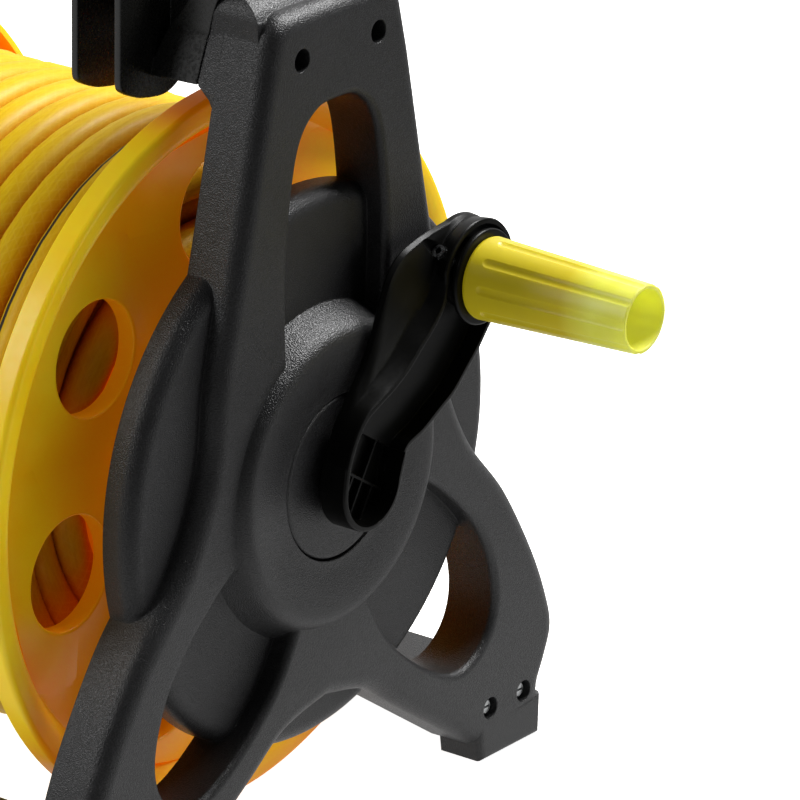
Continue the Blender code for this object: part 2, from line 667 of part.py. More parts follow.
def inlet_journal(material):
    """The hollow journal, plugged into its flange, that runs out through the side frame's sleeve."""
    shoulder = FACE_X - SLEEVE_END - WINDING_WIDTH / 2
    end = FACE_X - WINDING_WIDTH / 2 + 1 * MM
    profile = [(1 * MM, JOURNAL_BORE), (1 * MM, JOURNAL_PLUG_RADIUS), (shoulder, JOURNAL_PLUG_RADIUS),
               (shoulder, JOURNAL_RADIUS), (end, JOURNAL_RADIUS), (end, JOURNAL_BORE)]
    journal = turned("inlet_journal", profile, 24)
    finish(journal, material, (-WINDING_WIDTH / 2, 0, HUB_HEIGHT), pi)


def drum_barrel(material):
    """The tube that the hose is wound on, with a window for the hose's fitting."""
    half = WINDING_WIDTH / 2 - FIT_GAP
    inner = BARREL_RADIUS - BARREL_WALL
    profile = [(-half, inner), (half, inner), (half, BARREL_RADIUS), (-half, BARREL_RADIUS)]
    barrel = turned("drum_barrel", profile, 40)
    x = -FIRST_TURN_X
    cut(barrel, box("window", (x - 11 * MM, -14 * MM, 50 * MM), (x + 11 * MM, 14 * MM, 90 * MM)))
    finish(barrel, material, (0, 0, HUB_HEIGHT))


# Crank
def crank_hub(material):
    """Disc, journal and square drive in one turned and milled piece, with a socket for the crank's tang."""
    proud = HUB_DISC_PROUD
    bevel = HUB_DISC_BEVEL
    back = proud - HUB_DISC_THICK
    shoulder = -SLEEVE_END
    profile = [(shoulder, 0), (shoulder, JOURNAL_RADIUS), (back, JOURNAL_RADIUS), (back, HUB_DISC_RADIUS),
               (proud - bevel, HUB_DISC_RADIUS), (proud - bevel / 3, HUB_DISC_RADIUS - bevel / 3),
               (proud, HUB_DISC_RADIUS - bevel), (proud, 0)]
    hub = turned("crank_hub", profile, 36)
    half = DRIVE_SIDE / 2
    end = WINDING_WIDTH / 2 + 4 * MM + FIT_GAP - FACE_X
    add(hub, box("drive", (end, -half, -half), (shoulder + 2 * MM, half, half)))
    half = TANG_SIDE / 2 + FIT_GAP
    cut(hub, box("socket", (proud - TANG_LENGTH - 1 * MM, -half, -half), (30 * MM, half, half)))
    cut(hub, rod("screw_bore", DRIVE_SCREW_RADIUS + FIT_GAP, -90 * MM, 0, steps=10))
    finish(hub, material, (FACE_X, 0, HUB_HEIGHT))


def arm_outline():
    """The crank's swan-necked outline, from the hub end round to the grip end and back."""
    reach = atan2(CRANK_Z, CRANK_Y) * 180 / pi
    hub_end = arc((0, 0), ARM_HUB_RADIUS, 175, 325, 7)
    right = smooth([(19.5, -3), (22, 8), (30, 16.5), (41, 20.5), (61, 33), (77, 47)])
    tip = arc((CRANK_Y, CRANK_Z), ARM_TIP_RADIUS, reach - 110, reach + 118, 12)
    left = smooth([(45, 66), (37, 56), (17, 41.5), (-2, 33), (-12, 23), (-18, 10)])
    return hub_end + right + tip + left


def crank_arm(material):
    """A channel open to the front, ribbed at its hub end, with a square tang behind."""
    outline = arm_outline()
    rings = []
    for x, draft in ((ARM_BACK, 1.6), (ARM_BACK + 1.6 * MM, 0.4), (ARM_FRONT - 0.6 * MM, 0), (ARM_FRONT, 0.6)):
        rings.append([(x, y, z) for y, z in inset(outline, draft * MM)])
    arm = loft("crank_arm", rings)
    pocket = plate("pocket", inset(outline, ARM_WALL), ARM_FLOOR, 40 * MM)
    cut(arm, pocket)
    hub_end = arc((0, 0), ARM_HUB_RADIUS - ARM_WALL, 180, 360, 10)
    deep = hub_end + [(15 * MM, 8 * MM), (20 * MM, 17 * MM), (-5 * MM, 27 * MM), (-13 * MM, 12 * MM)]
    floor = plate("hub_pocket", deep, ARM_HUB_FLOOR, 40 * MM)
    for y, low, high in ((-9, -14, 6), (-1, -17, 8), (8, -14, 4)):
        rib = box("rib", (0, (y - 0.8) * MM, low * MM), (ARM_FRONT - 6 * MM, (y + 0.8) * MM, high * MM))
        rib.data.transform(Matrix.Rotation(radians(-14), 4, "X"))
        cut(floor, rib)
    cross = box("cross_rib", (0, -30 * MM, -1 * MM), (ARM_FRONT - 3 * MM, 30 * MM, 1 * MM))
    cross.data.transform(Matrix.Translation((0, -1 * MM, 10 * MM)) @ Matrix.Rotation(radians(-20), 4, "X"))
    cut(floor, cross)
    cut(arm, floor, "MANIFOLD")
    cut(arm, rod("spindle_seat", SPINDLE_BLOCK_RADIUS + FIT_GAP, ARM_BACK + 2.2 * MM, 40 * MM,
                 (CRANK_Y, CRANK_Z), 24), "MANIFOLD")
    half = TANG_SIDE / 2
    add(arm, rod("spacer", 15 * MM, HUB_DISC_PROUD + FIT_GAP, ARM_BACK + 1 * MM, steps=24), "MANIFOLD")
    tang_end = HUB_DISC_PROUD - TANG_LENGTH
    add(arm, box("tang", (tang_end, -half, -half), (ARM_BACK + 1 * MM, half, half)), "MANIFOLD")
    cut(arm, rod("pilot", DRIVE_SCREW_RADIUS + FIT_GAP, tang_end - 5 * MM, -2 * MM, steps=8), "MANIFOLD")
    cut(arm, pin_rod(PIN_RADIUS + FIT_GAP, 60 * MM, 16), "MANIFOLD")
    finish(arm, material, (FACE_X, 0, HUB_HEIGHT))


def pin_rod(radius, length, steps):
    """A rod square to the crank arm, just inside the grip's axis."""
    angle = atan2(CRANK_Z, CRANK_Y)
    reach = hypot(CRANK_Y, CRANK_Z) - PIN_OFFSET
    pin = rod("pin", radius, -length / 2, length / 2, steps=steps)
    across = Matrix.Rotation(angle, 4, "X") @ Matrix.Rotation(pi / 2, 4, "Y")
    place = Matrix.Translation((PIN_X, reach * cos(angle), reach * sin(angle)))
    pin.data.transform(place @ across)
    return pin


def grip_pin(material):
    """The hollow spring pin that holds the spindle in the arm."""
    length = 2 * ARM_TIP_RADIUS - 1.2 * MM
    pin = pin_rod(PIN_RADIUS, length, 16)
    cut(pin, pin_rod(PIN_BORE, length * 1.5, 10))
    pin.name = "grip_pin"
    finish(pin, material, (FACE_X, 0, HUB_HEIGHT))


def grip_place():
    return (FACE_X + GRIP_START, CRANK_Y, HUB_HEIGHT + CRANK_Z)


def grip_spindle(material):
    """Root block in the arm, flange under the grip and the shaft that the grip turns on."""
    flange_front = -FIT_GAP
    root = ARM_BACK + 2.2 * MM + FIT_GAP - GRIP_START
    end = SPINDLE_LENGTH
    profile = [(root, 0), (root, SPINDLE_BLOCK_RADIUS), (flange_front - SPINDLE_FLANGE, SPINDLE_BLOCK_RADIUS),
               (flange_front - SPINDLE_FLANGE, SPINDLE_FLANGE_RADIUS), (flange_front, SPINDLE_FLANGE_RADIUS),
               (flange_front, SPINDLE_RADIUS), (end, SPINDLE_RADIUS), (end, 0)]
    spindle = turned("grip_spindle", profile, 24)
    cut(spindle, rod("pilot", SCREW_RADIUS + FIT_GAP, end - 20 * MM, end + 5 * MM, steps=8))
    hole = pin_rod(PIN_RADIUS + FIT_GAP, 60 * MM, 16)
    hole.data.transform(Matrix.Translation((-GRIP_START, -CRANK_Y, -CRANK_Z)))
    cut(spindle, hole)
    finish(spindle, material, grip_place())


def grip_sleeve(material):
    """The turning grip: a tapered tube with a bearing ring at each end of the spindle, fluted outside."""
    bore = SPINDLE_RADIUS + RUN_GAP
    inner_base = GRIP_BASE_RADIUS - GRIP_WALL
    inner_end = GRIP_END_RADIUS - GRIP_WALL
    ring = SPINDLE_LENGTH - 4 * MM

    def inner(x):
        return inner_base + (inner_end - inner_base) * x / GRIP_LENGTH

    profile = [(0, bore), (3 * MM, bore), (3 * MM, inner(3 * MM)), (ring, inner(ring)), (ring, bore),
               (SPINDLE_LENGTH - FIT_GAP, bore), (SPINDLE_LENGTH - FIT_GAP, inner(SPINDLE_LENGTH)),
               (GRIP_LENGTH, inner_end), (GRIP_LENGTH, GRIP_END_RADIUS), (1.2 * MM, GRIP_BASE_RADIUS),
               (0, GRIP_BASE_RADIUS - 1.0 * MM)]
    sleeve = turned("grip_sleeve", profile, 24)
    taper = atan2(GRIP_BASE_RADIUS - GRIP_END_RADIUS, GRIP_LENGTH)
    start = 9 * MM
    for i in range(GRIP_FLUTES):
        flute = rod("flute", FLUTE_RADIUS, 0, GRIP_LENGTH, steps=10)
        radius = GRIP_BASE_RADIUS - start * (GRIP_BASE_RADIUS - GRIP_END_RADIUS) / GRIP_LENGTH
        place = Matrix.Translation((start, 0, radius + FLUTE_RADIUS - FLUTE_DEPTH))
        flute.data.transform(place @ Matrix.Rotation(taper, 4, "Y"))
        cut(sleeve, turn_about_x(flute, 2 * pi * (i + 0.5) / GRIP_FLUTES))
    finish(sleeve, material, grip_place())


def grip_retainer(steel):
    """Washer and screw on the spindle's end, which hold the grip."""
    low = SPINDLE_LENGTH + FIT_GAP
    high = low + 1.2 * MM
    bore = SCREW_RADIUS + FIT_GAP
    rim = SPINDLE_RADIUS + 2.2 * MM
    washer = turned("grip_washer", [(low, bore), (high, bore), (high, rim), (low, rim)], 16)
    finish(washer, steel, grip_place())
    seat = high + FIT_GAP
    profile = [(seat - 18 * MM, 0), (seat - 16 * MM, SCREW_RADIUS), (seat, SCREW_RADIUS),
               (seat, SCREW_HEAD_RADIUS), (seat + 1.2 * MM, SCREW_HEAD_RADIUS), (seat + 2.4 * MM, 3 * MM),
               (seat + 2.4 * MM, 0)]
    screw = turned("grip_screw", profile, 16)
    cut(screw, box("slot", (seat + 1.4 * MM, -2.2 * MM, -0.5 * MM), (seat + 5 * MM, 2.2 * MM, 0.5 * MM)))
    finish(screw, steel, grip_place())


def drive_fastening(steel):
    """The long screw that draws flange, hub and crank together from inside the drum, and its washer."""
    face = WINDING_WIDTH / 2 - FACE_X
    bore = DRIVE_SCREW_RADIUS + FIT_GAP
    rim = 9 * MM
    high = face - FIT_GAP
    low = high - 1.6 * MM
    washer = turned("drive_washer", [(low, bore), (high, bore), (high, rim), (low, rim)], 16)
    finish(washer, steel, (FACE_X, 0, HUB_HEIGHT))
    seat = low - FIT_GAP
    profile = [(seat - 3.2 * MM, 0), (seat - 3.2 * MM, 3.6 * MM), (seat - 1.6 * MM, 4.8 * MM), (seat, 4.8 * MM),
               (seat, DRIVE_SCREW_RADIUS), (-7 * MM, DRIVE_SCREW_RADIUS), (-5 * MM, 0)]
    screw = turned("drive_screw", profile[::-1], 16)
    finish(screw, steel, (FACE_X, 0, HUB_HEIGHT))


# Water inlet, in the place of a side frame turned to -X
def inlet_elbow(material):
    """Spigot in the journal, flange under the nut, and a barbed nozzle that points down."""
    gap = 1 * MM + FIT_GAP
    spigot = INLET_SPIGOT_RADIUS
    neck = NOZZLE_NECK_RADIUS
    end = NOZZLE_X + neck
    profile = [(-30 * MM, 0), (-30 * MM, spigot), (-20 * MM, spigot), (-20 * MM, spigot - 2 * MM),
               (-17 * MM, spigot - 2 * MM), (-17 * MM, spigot), (gap, spigot), (gap, 14 * MM),
               (gap + 2.4 * MM, 14 * MM), (gap + 2.4 * MM, neck), (end - 2 * MM, neck),
               (end + NECK_CAP, neck - 3 * MM), (end + NECK_CAP, 0)]
    elbow = turned("inlet_elbow", profile, 16)
    tip = INLET_REACH
    root = 7.2 * MM
    barb = 8.4 * MM
    bore = 4.6 * MM
    nozzle = [(0, 0), (0, neck), (16 * MM, neck), (18 * MM, 12.5 * MM), (23 * MM, 12.5 * MM), (23 * MM, root),
              (30 * MM, root), (30 * MM, barb), (39 * MM, root), (39 * MM, barb), (tip - 10 * MM, root),
              (tip - 10 * MM, barb), (tip, 7 * MM), (tip, bore), (30 * MM, bore), (30 * MM, 0)]
    nozzle = turned("nozzle", nozzle, 16)
    nozzle.data.transform(Matrix.Translation((NOZZLE_X, 0, 0)) @ Matrix.Rotation(pi / 2, 4, "Y"))
    add(elbow, nozzle)
    finish(elbow, material, (-FACE_X, 0, HUB_HEIGHT), pi)


def inlet_nut(material):
    """Screwed on the journal's end, it holds the elbow and keeps the drum in its sleeve."""
    back = recess_floor() + FIT_GAP
    lip = 1 * MM + FIT_GAP + 2.4 * MM + FIT_GAP
    bore = JOURNAL_RADIUS + FIT_GAP
    profile = [(back, bore), (lip, bore), (lip, NOZZLE_NECK_RADIUS + FIT_GAP),
               (lip + 2.4 * MM, NOZZLE_NECK_RADIUS + FIT_GAP), (lip + 2.4 * MM, NUT_RADIUS - 1.5 * MM),
               (lip + 0.9 * MM, NUT_RADIUS), (back, NUT_RADIUS)]
    nut = turned("inlet_nut", profile, 24)
    for i in range(6):
        groove = rod("groove", 1.8 * MM, -10 * MM, 20 * MM, (NUT_RADIUS + 0.6 * MM, 0), 8)
        cut(nut, turn_about_x(groove, 2 * pi * (i + 0.25) / 6))
    finish(nut, material, (-FACE_X, 0, HUB_HEIGHT), pi)


def inlet_o_ring(rubber):
    middle = -18.5 * MM
    radius = 1.0 * MM
    profile = [(middle + x, r) for x, r in arc((0, JOURNAL_BORE - FIT_GAP - radius), radius, 0, 300, 5)]
    ring = turned("inlet_o_ring", profile, 16)
    finish(ring, rubber, (-FACE_X, 0, HUB_HEIGHT), pi)


def drum_elbow(material):
    """The pipe inside the drum that carries the water from the hollow journal to the hose."""
    x = -FIRST_TURN_X
    height = BARREL_RADIUS + FIT_GAP + HOSE_DIAMETER / 2 + 1.8 * MM
    bend = 9 * MM
    points = [(-WINDING_WIDTH / 2 - 12 * MM, 0, 0), (x - bend, 0, 0)]
    points += [(x - bend + bend * sin(a), 0, bend - bend * cos(a)) for a in (pi / 6, pi / 3, pi / 2)]
    points += [(x, 0, height - bend)]
    points += [(x, bend - bend * cos(a), height - bend + bend * sin(a)) for a in (pi / 6, pi / 3, pi / 2)]
    points += [(x, bend + 24 * MM, height)]
    return tube("drum_elbow", points, PIPE_RADIUS, 3, material)


def tube(name, points, radius, resolution, material):
    """A round bar along a polyline, with closed ends."""
    curve = bpy.data.curves.new(name, "CURVE")
    curve.dimensions = "3D"
    curve.bevel_depth = radius
    curve.bevel_resolution = resolution
    curve.use_fill_caps = True
    spline = curve.splines.new("POLY")
    spline.points.add(len(points) - 1)
    for point, place in zip(spline.points, points):
        point.co = (*place, 1)
    curve.materials.append(material)
    obj = bpy.data.objects.new(name, curve)
    bpy.context.scene.collection.objects.link(obj)
    obj.location = (0, 0, HUB_HEIGHT)
    return obj


def hose_clamp(steel):
    """The worm clamp on the first end of the hose, beside the barrel's window."""
    height = BARREL_RADIUS + FIT_GAP + HOSE_DIAMETER / 2 + 1.8 * MM
    inner = HOSE_DIAMETER / 2
    outer = inner + 1.2 * MM
    half = 4.5 * MM
    clamp = turned("hose_clamp", [(-half, inner), (half, inner), (half, outer), (-half, outer)], 20)
    add(clamp, box("housing", (-4 * MM, -8 * MM, inner + 0.3 * MM), (4 * MM, 8 * MM, outer + 4 * MM)))
    clamp.data.transform(Matrix.Rotation(pi / 2, 4, "Z"))
    finish(clamp, steel, (-FIRST_TURN_X, 26 * MM, HUB_HEIGHT + height))


# Hose
def hose_coil(material):
    """The wound hose as one turned ring, stepped where its first turn and its fitting lie."""
    half = WINDING_WIDTH / 2 - FIT_GAP
    inner = BARREL_RADIUS + FIT_GAP
    step = inner + 2 * HOSE_DIAMETER - 2 * MM
    side = FIRST_TURN_X - 12 * MM
    profile = [(-side, inner), (half, inner), (half, COIL_RADIUS), (-half, COIL_RADIUS), (-half, step),
               (-side, step)]
    coil = turned("hose_coil", profile, 40)
    finish(coil, material, (0, 0, HUB_HEIGHT))


def tail_radius():
    """Distance from the drum's axis to the middle of the hose that lies on the full coil."""
    return COIL_RADIUS + TAIL_GAP + HOSE_DIAMETER / 2


def hose_tail(material):
    """The last stretch of hose, lying on the coil."""
    steps = 6
    angles = [TAIL_START + (TAIL_END - TAIL_START) * i / steps for i in range(steps + 1)]
    points = [(TAIL_X, tail_radius() * cos(a), tail_radius() * sin(a)) for a in angles]
    straight = Vector((0, sin(TAIL_END), -cos(TAIL_END))) * 4 * MM
    points.append(tuple(Vector(points[-1]) + straight))
    return tube("hose_tail", points, HOSE_DIAMETER / 2, 3, material)


def hose_end_connector(material):
    """The click connector on the hose's free end: collar, ribbed grip and open nose."""
    r = CONNECTOR_RADIUS
    length = CONNECTOR_LENGTH
    mouth = 7.4 * MM
    profile = [(0, 0), (0, r - 1.5 * MM), (1.5 * MM, r), (18 * MM, r), (19 * MM, r - 1.5 * MM),
               (24 * MM, r - 1.5 * MM), (25 * MM, r - 0.3 * MM), (length - 2 * MM, r - 0.3 * MM),
               (length, r - 2 * MM), (length, mouth), (length - 20 * MM, mouth), (length - 20 * MM, 0)]
    connector = turned("hose_end_connector", profile, 16)
    for i in range(5):
        groove = rod("groove", 1.8 * MM, 3 * MM, 16 * MM, (r + 0.5 * MM, 0), 6)
        cut(connector, turn_about_x(groove, 2 * pi * i / 5))
    lift = r - HOSE_DIAMETER / 2
    along = Vector((0, sin(TAIL_END), -cos(TAIL_END)))
    outward = Vector((0, cos(TAIL_END), sin(TAIL_END)))
    start = outward * (tail_radius() + lift) + along * (4 * MM + FIT_GAP)
    turn = Matrix.Rotation(TAIL_END - pi / 2, 4, "X") @ Matrix.Rotation(pi / 2, 4, "Z")
    connector.data.transform(Matrix.Translation(start) @ turn)
    finish(connector, material, (TAIL_X, 0, HUB_HEIGHT))


def centre_on_floor():
    """Moves every part along X, so that the reel's ends lie evenly about the origin."""
    crank_end = FACE_X + GRIP_START + GRIP_LENGTH
    inlet_end = FACE_X + NOZZLE_X + NOZZLE_NECK_RADIUS + NECK_CAP
    middle = bpy.data.objects.new("middle_of_drum", None)
    bpy.context.scene.collection.objects.link(middle)
    middle.location = ((inlet_end - crank_end) / 2, 0, 0)
    for obj in bpy.data.objects:
        if obj is not middle:
            obj.parent = middle


clear_scene()
BLACK = moulding("black_polypropylene", (0.02, 0.02, 0.022), 0.55)
GLOSSY = moulding("black_abs", (0.008, 0.008, 0.009), 0.25)
YELLOW = moulding("yellow_polypropylene", (0.85, 0.55, 0.02), 0.45)
HOSE = moulding("yellow_pvc_hose", (0.75, 0.38, 0.02), 0.35)
LIME = moulding("lime_grip", (0.8, 0.9, 0.05), 0.35)
STEEL = moulding("zinc_plated_steel", (0.6, 0.6, 0.6), 0.3, 1.0)
RUBBER = moulding("rubber", (0.01, 0.01, 0.01), 0.7)
side_frames(BLACK)
tie_bar("tie_bar_front", -1, BLACK)
tie_bar("tie_bar_rear", 1, BLACK)
frame_screws(STEEL)
carry_handle(BLACK)
drive_flange(YELLOW)
inlet_flange(YELLOW)
inlet_journal(YELLOW)
drum_barrel(YELLOW)
crank_hub(BLACK)
crank_arm(GLOSSY)
drive_fastening(STEEL)
grip_spindle(GLOSSY)
grip_pin(STEEL)
grip_sleeve(LIME)
grip_retainer(STEEL)
inlet_elbow(YELLOW)
inlet_nut(GLOSSY)
inlet_o_ring(RUBBER)
drum_elbow(GLOSSY)
hose_clamp(STEEL)
hose_coil(HOSE)
hose_tail(HOSE)
hose_end_connector(YELLOW)
centre_on_floor()
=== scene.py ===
"""Freestanding hose reel: the finished look of every piece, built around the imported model.

Metres, +Z up. The drum turns about an axis along X, with the crank at +X and the water inlet at -X.
Sections follow the reel as it is put together: camera and hose first, then stage, drum, side
frames, handle, crank, grip and water inlet.
"""

import json
from math import atan2, cos, hypot, pi, radians, sin

import bmesh
import bpy
from mathutils import Matrix, Vector

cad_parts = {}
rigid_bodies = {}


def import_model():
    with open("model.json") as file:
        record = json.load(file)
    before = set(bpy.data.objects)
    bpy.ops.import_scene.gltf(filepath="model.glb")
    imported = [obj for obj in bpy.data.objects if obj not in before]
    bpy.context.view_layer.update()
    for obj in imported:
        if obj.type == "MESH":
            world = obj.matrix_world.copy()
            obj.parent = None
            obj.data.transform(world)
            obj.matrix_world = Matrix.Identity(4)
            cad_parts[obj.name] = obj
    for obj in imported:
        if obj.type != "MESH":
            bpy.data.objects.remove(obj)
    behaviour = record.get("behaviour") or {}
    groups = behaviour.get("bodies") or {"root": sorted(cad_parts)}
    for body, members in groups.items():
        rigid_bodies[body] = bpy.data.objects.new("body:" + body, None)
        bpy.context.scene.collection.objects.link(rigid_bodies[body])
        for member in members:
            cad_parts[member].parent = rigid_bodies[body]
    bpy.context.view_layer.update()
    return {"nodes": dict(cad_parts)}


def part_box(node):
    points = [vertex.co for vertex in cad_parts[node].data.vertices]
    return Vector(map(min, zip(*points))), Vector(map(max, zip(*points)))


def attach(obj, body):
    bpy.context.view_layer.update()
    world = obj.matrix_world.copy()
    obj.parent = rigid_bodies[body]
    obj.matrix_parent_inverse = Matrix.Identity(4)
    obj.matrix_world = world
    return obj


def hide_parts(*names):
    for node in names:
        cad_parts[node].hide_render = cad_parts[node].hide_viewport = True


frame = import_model()
MM = 0.001

# Camera
# A long lens, from the reel's front right and 21 degrees above its hub. It was worked out from the
# places of the flange, the boss and the feet in the picture.
COIL_LOW, COIL_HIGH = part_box("hose_coil")
DRUM_X = (COIL_LOW[0] + COIL_HIGH[0]) / 2
HUB_HEIGHT = (COIL_LOW[2] + COIL_HIGH[2]) / 2
# The limbs' front face, from the middle of the drum
FACE_X = 166 * MM
IMAGE_SIDE = 800
HUB_PIXEL = (335.0, 474.5)
CAMERA_DISTANCE = 2832 * MM
CAMERA_AZIMUTH = radians(36.67)
CAMERA_ELEVATION = radians(20.71)
CAMERA_ROLL = radians(0.97)
FOCAL_PIXELS = 6938
SENSOR_WIDTH = 36


def make_camera():
    hub = Vector((DRUM_X + FACE_X, 0, HUB_HEIGHT))
    flat = cos(CAMERA_ELEVATION)
    back = Vector((sin(CAMERA_AZIMUTH) * flat, -cos(CAMERA_AZIMUTH) * flat, sin(CAMERA_ELEVATION)))
    level = Vector((cos(CAMERA_AZIMUTH), sin(CAMERA_AZIMUTH), 0))
    up = back.cross(level)
    right = cos(CAMERA_ROLL) * level + sin(CAMERA_ROLL) * up
    up = -sin(CAMERA_ROLL) * level + cos(CAMERA_ROLL) * up
    scale = CAMERA_DISTANCE / FOCAL_PIXELS
    middle = IMAGE_SIDE / 2
    place = (hub + CAMERA_DISTANCE * back - (HUB_PIXEL[0] - middle) * scale * right
             - (middle - HUB_PIXEL[1]) * scale * up)
    data = bpy.data.cameras.new("camera")
    data.lens = FOCAL_PIXELS / IMAGE_SIDE * SENSOR_WIDTH
    data.sensor_width = SENSOR_WIDTH
    data.clip_end = 20
    camera = bpy.data.objects.new("camera", data)
    bpy.context.scene.collection.objects.link(camera)
    camera.matrix_world = Matrix.Translation(place) @ Matrix((right, up, back)).transposed().to_4x4()
    bpy.context.scene.camera = camera


make_camera()

# Hose
# Half-inch garden hose: a soft clear-coated PVC tube, extruded over a knitted braid, with one printed
# line. It is wound on the drum in four layers, and its free end lies on them with a click connector.
HOSE_DIAMETER = 17 * MM
HOSE_RADIUS = HOSE_DIAMETER / 2
WINDING_HALF = (COIL_HIGH[0] - COIL_LOW[0]) / 2
LAYER_RADII = (80.3 * MM, 95.4 * MM, 110.5 * MM, 125.7 * MM)
TAIL_RADIUS = 143.3 * MM
TAIL_X = -68 * MM
FIRST_X = -86 * MM
INNER_END_X = -65.5 * MM
OUTER_END_X = WINDING_HALF - HOSE_RADIUS
POINTS_PER_TURN = 56
HOSE_SIDES = 20
TAIL_STRAIGHT = 4 * MM
ELBOW_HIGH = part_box("drum_elbow")[1]
CLAMP_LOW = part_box("hose_clamp")[0]
# The outlet's middle lies this far below the elbow's top, and the hose starts this far before its clamp
OUTLET_DROP = 8.1 * MM
HOSE_START = 0.6 * MM


def ease(t, start, end):
    """0 before start, 1 after end, and a smooth step between."""
    s = min(max((t - start) / (end - start), 0), 1)
    return s * s * (3 - 2 * s)


# Turn counts at which the winding changes, counted from straight above the axis
FIRST_TURN_ENDS = 0.97
LAYER_1_ENDS = 9.91
LAYER_2_STARTS = 10.21
LAYER_2_ENDS = 19.15
LAYER_3_STARTS = 19.6
LAYER_3_ENDS = 30.15
LAYER_4_STARTS = 30.44
CLIMB_STARTS = 41.14
CLIMB_ENDS = 41.3
TAIL_STARTS = 41 + 115 / 360
TAIL_ENDS = 41 + 174 / 360
# Where the first turn starts to move along the drum, and the share of a turn that its first bend takes
FIRST_SHIFT_STARTS = 0.45
FIRST_BEND = 0.45
CLIMB_GAP = 0.3 * MM
WANDER = 0.12 * MM


def steady(turn, start, end, first, last):
    """An even move from first to last between two turn counts."""
    return first + (last - first) * ((turn - start) / (end - start))


def outer_layer_x(turn):
    return steady(turn, LAYER_4_STARTS, CLIMB_STARTS, OUTER_END_X, -OUTER_END_X)


def winding_x(turn):
    """How far along the drum the hose lies at a turn count."""
    if turn < FIRST_TURN_ENDS:
        return FIRST_X + (INNER_END_X - FIRST_X) * ease(turn, FIRST_SHIFT_STARTS, FIRST_TURN_ENDS)
    if turn < LAYER_1_ENDS:
        return steady(turn, FIRST_TURN_ENDS, LAYER_1_ENDS, INNER_END_X, OUTER_END_X)
    if turn < LAYER_2_STARTS:
        return OUTER_END_X
    if turn < LAYER_2_ENDS:
        return steady(turn, LAYER_2_STARTS, LAYER_2_ENDS, OUTER_END_X, INNER_END_X)
    if turn < LAYER_3_STARTS:
        return INNER_END_X - (OUTER_END_X + INNER_END_X) * ease(turn, LAYER_2_ENDS, LAYER_2_ENDS + 0.3)
    if turn < LAYER_3_ENDS:
        return steady(turn, LAYER_3_STARTS, LAYER_3_ENDS, -OUTER_END_X, OUTER_END_X)
    if turn < LAYER_4_STARTS:
        return OUTER_END_X
    if turn < CLIMB_STARTS:
        return outer_layer_x(turn)
    # Up and over the turn before it, then along to the tail's place
    roll = pi / 2 * ease(turn, CLIMB_STARTS, CLIMB_ENDS)
    beside = outer_layer_x(min(turn, CLIMB_ENDS) - 1) - (HOSE_DIAMETER + CLIMB_GAP) * cos(roll)
    return beside + (TAIL_X - beside) * ease(turn, CLIMB_ENDS - 0.08, TAIL_STARTS + 0.04)


def winding_radius(turn):
    """The distance of the hose's middle from the drum's axis at a turn count."""
    one, two, three, four = LAYER_RADII
    radius = one + (two - one) * ease(turn, LAYER_1_ENDS, LAYER_2_STARTS)
    radius += (three - two) * ease(turn, LAYER_2_ENDS + 0.2, LAYER_3_STARTS)
    radius += (four - three) * ease(turn, LAYER_3_ENDS, LAYER_4_STARTS)
    radius += (TAIL_RADIUS - four) * sin(pi / 2 * ease(turn, CLIMB_STARTS, CLIMB_ENDS))
    return radius


def first_bend_radius(turn, start, radius, slope):
    """A cubic from the elbow's straight outlet down to the first layer."""
    s = min((turn - start) / FIRST_BEND, 1)
    drop = radius - LAYER_RADII[0]
    fall = 2 * s ** 3 - 3 * s * s + 1
    return LAYER_RADII[0] + drop * fall + slope * FIRST_BEND * (s ** 3 - 2 * s * s + s)


def looseness(turn):
    """Small wandering of the outer turns, none where a layer starts or ends."""
    share = ease(turn, LAYER_4_STARTS + 0.6, LAYER_4_STARTS + 1.6)
    share *= 1 - ease(turn, CLIMB_STARTS - 1.5, CLIMB_STARTS)
    return share * WANDER * (sin(5.1 * turn) + sin(2.3 * turn + 1))


def hose_route():
    """Points along the hose, each with its turn count, measured from the drum's axis."""
    exit_y = CLAMP_LOW[1] - HOSE_START
    straight_y = ELBOW_HIGH[1]
    height = ELBOW_HIGH[2] - HUB_HEIGHT - OUTLET_DROP
    route = []
    for i in range(4):
        y = exit_y + (straight_y - exit_y) * i / 3
        route.append((0.25 - atan2(height, y) / (2 * pi), Vector((FIRST_X, y, height))))
    start = 0.25 - atan2(height, straight_y) / (2 * pi)
    radius = hypot(height, straight_y)
    # How fast a straight line at this height leaves the axis, for each turn
    slope = height * (straight_y / radius) / (height / radius) ** 2 * 2 * pi
    first = int(start * POINTS_PER_TURN) + 2
    last = int(TAIL_ENDS * POINTS_PER_TURN)
    for turn in [i / POINTS_PER_TURN for i in range(first, last)] + [TAIL_ENDS]:
        angle = pi / 2 - 2 * pi * turn
        distance = winding_radius(turn)
        if turn < start + FIRST_BEND:
            distance = first_bend_radius(turn, start, radius, slope)
        distance += 4 * abs(looseness(turn))
        x = winding_x(turn) + looseness(turn)
        route.append((turn, Vector((x, distance * cos(angle), distance * sin(angle)))))
    end = pi / 2 - 2 * pi * TAIL_ENDS
    route.append((TAIL_ENDS, route[-1][1] + TAIL_STRAIGHT * Vector((0, sin(end), -cos(end)))))
    return route


def line_angle(turn):
    """Where the printed line lies round the hose: it shows on the outer turn beside the crank's flange."""
    shown = radians(26)
    hidden = radians(165)
    appears = LAYER_4_STARTS - 0.1
    leaves = LAYER_4_STARTS + 0.75
    away = 1 - ease(turn, appears, appears + 0.25) + ease(turn, leaves, leaves + 0.6)
    return shown + (hidden - shown) * away


def new_object(name, bm):
    mesh = bpy.data.meshes.new(name)
    bm.to_mesh(mesh)
    bm.free()
    obj = bpy.data.objects.new(name, mesh)
    bpy.context.scene.collection.objects.link(obj)
    return obj


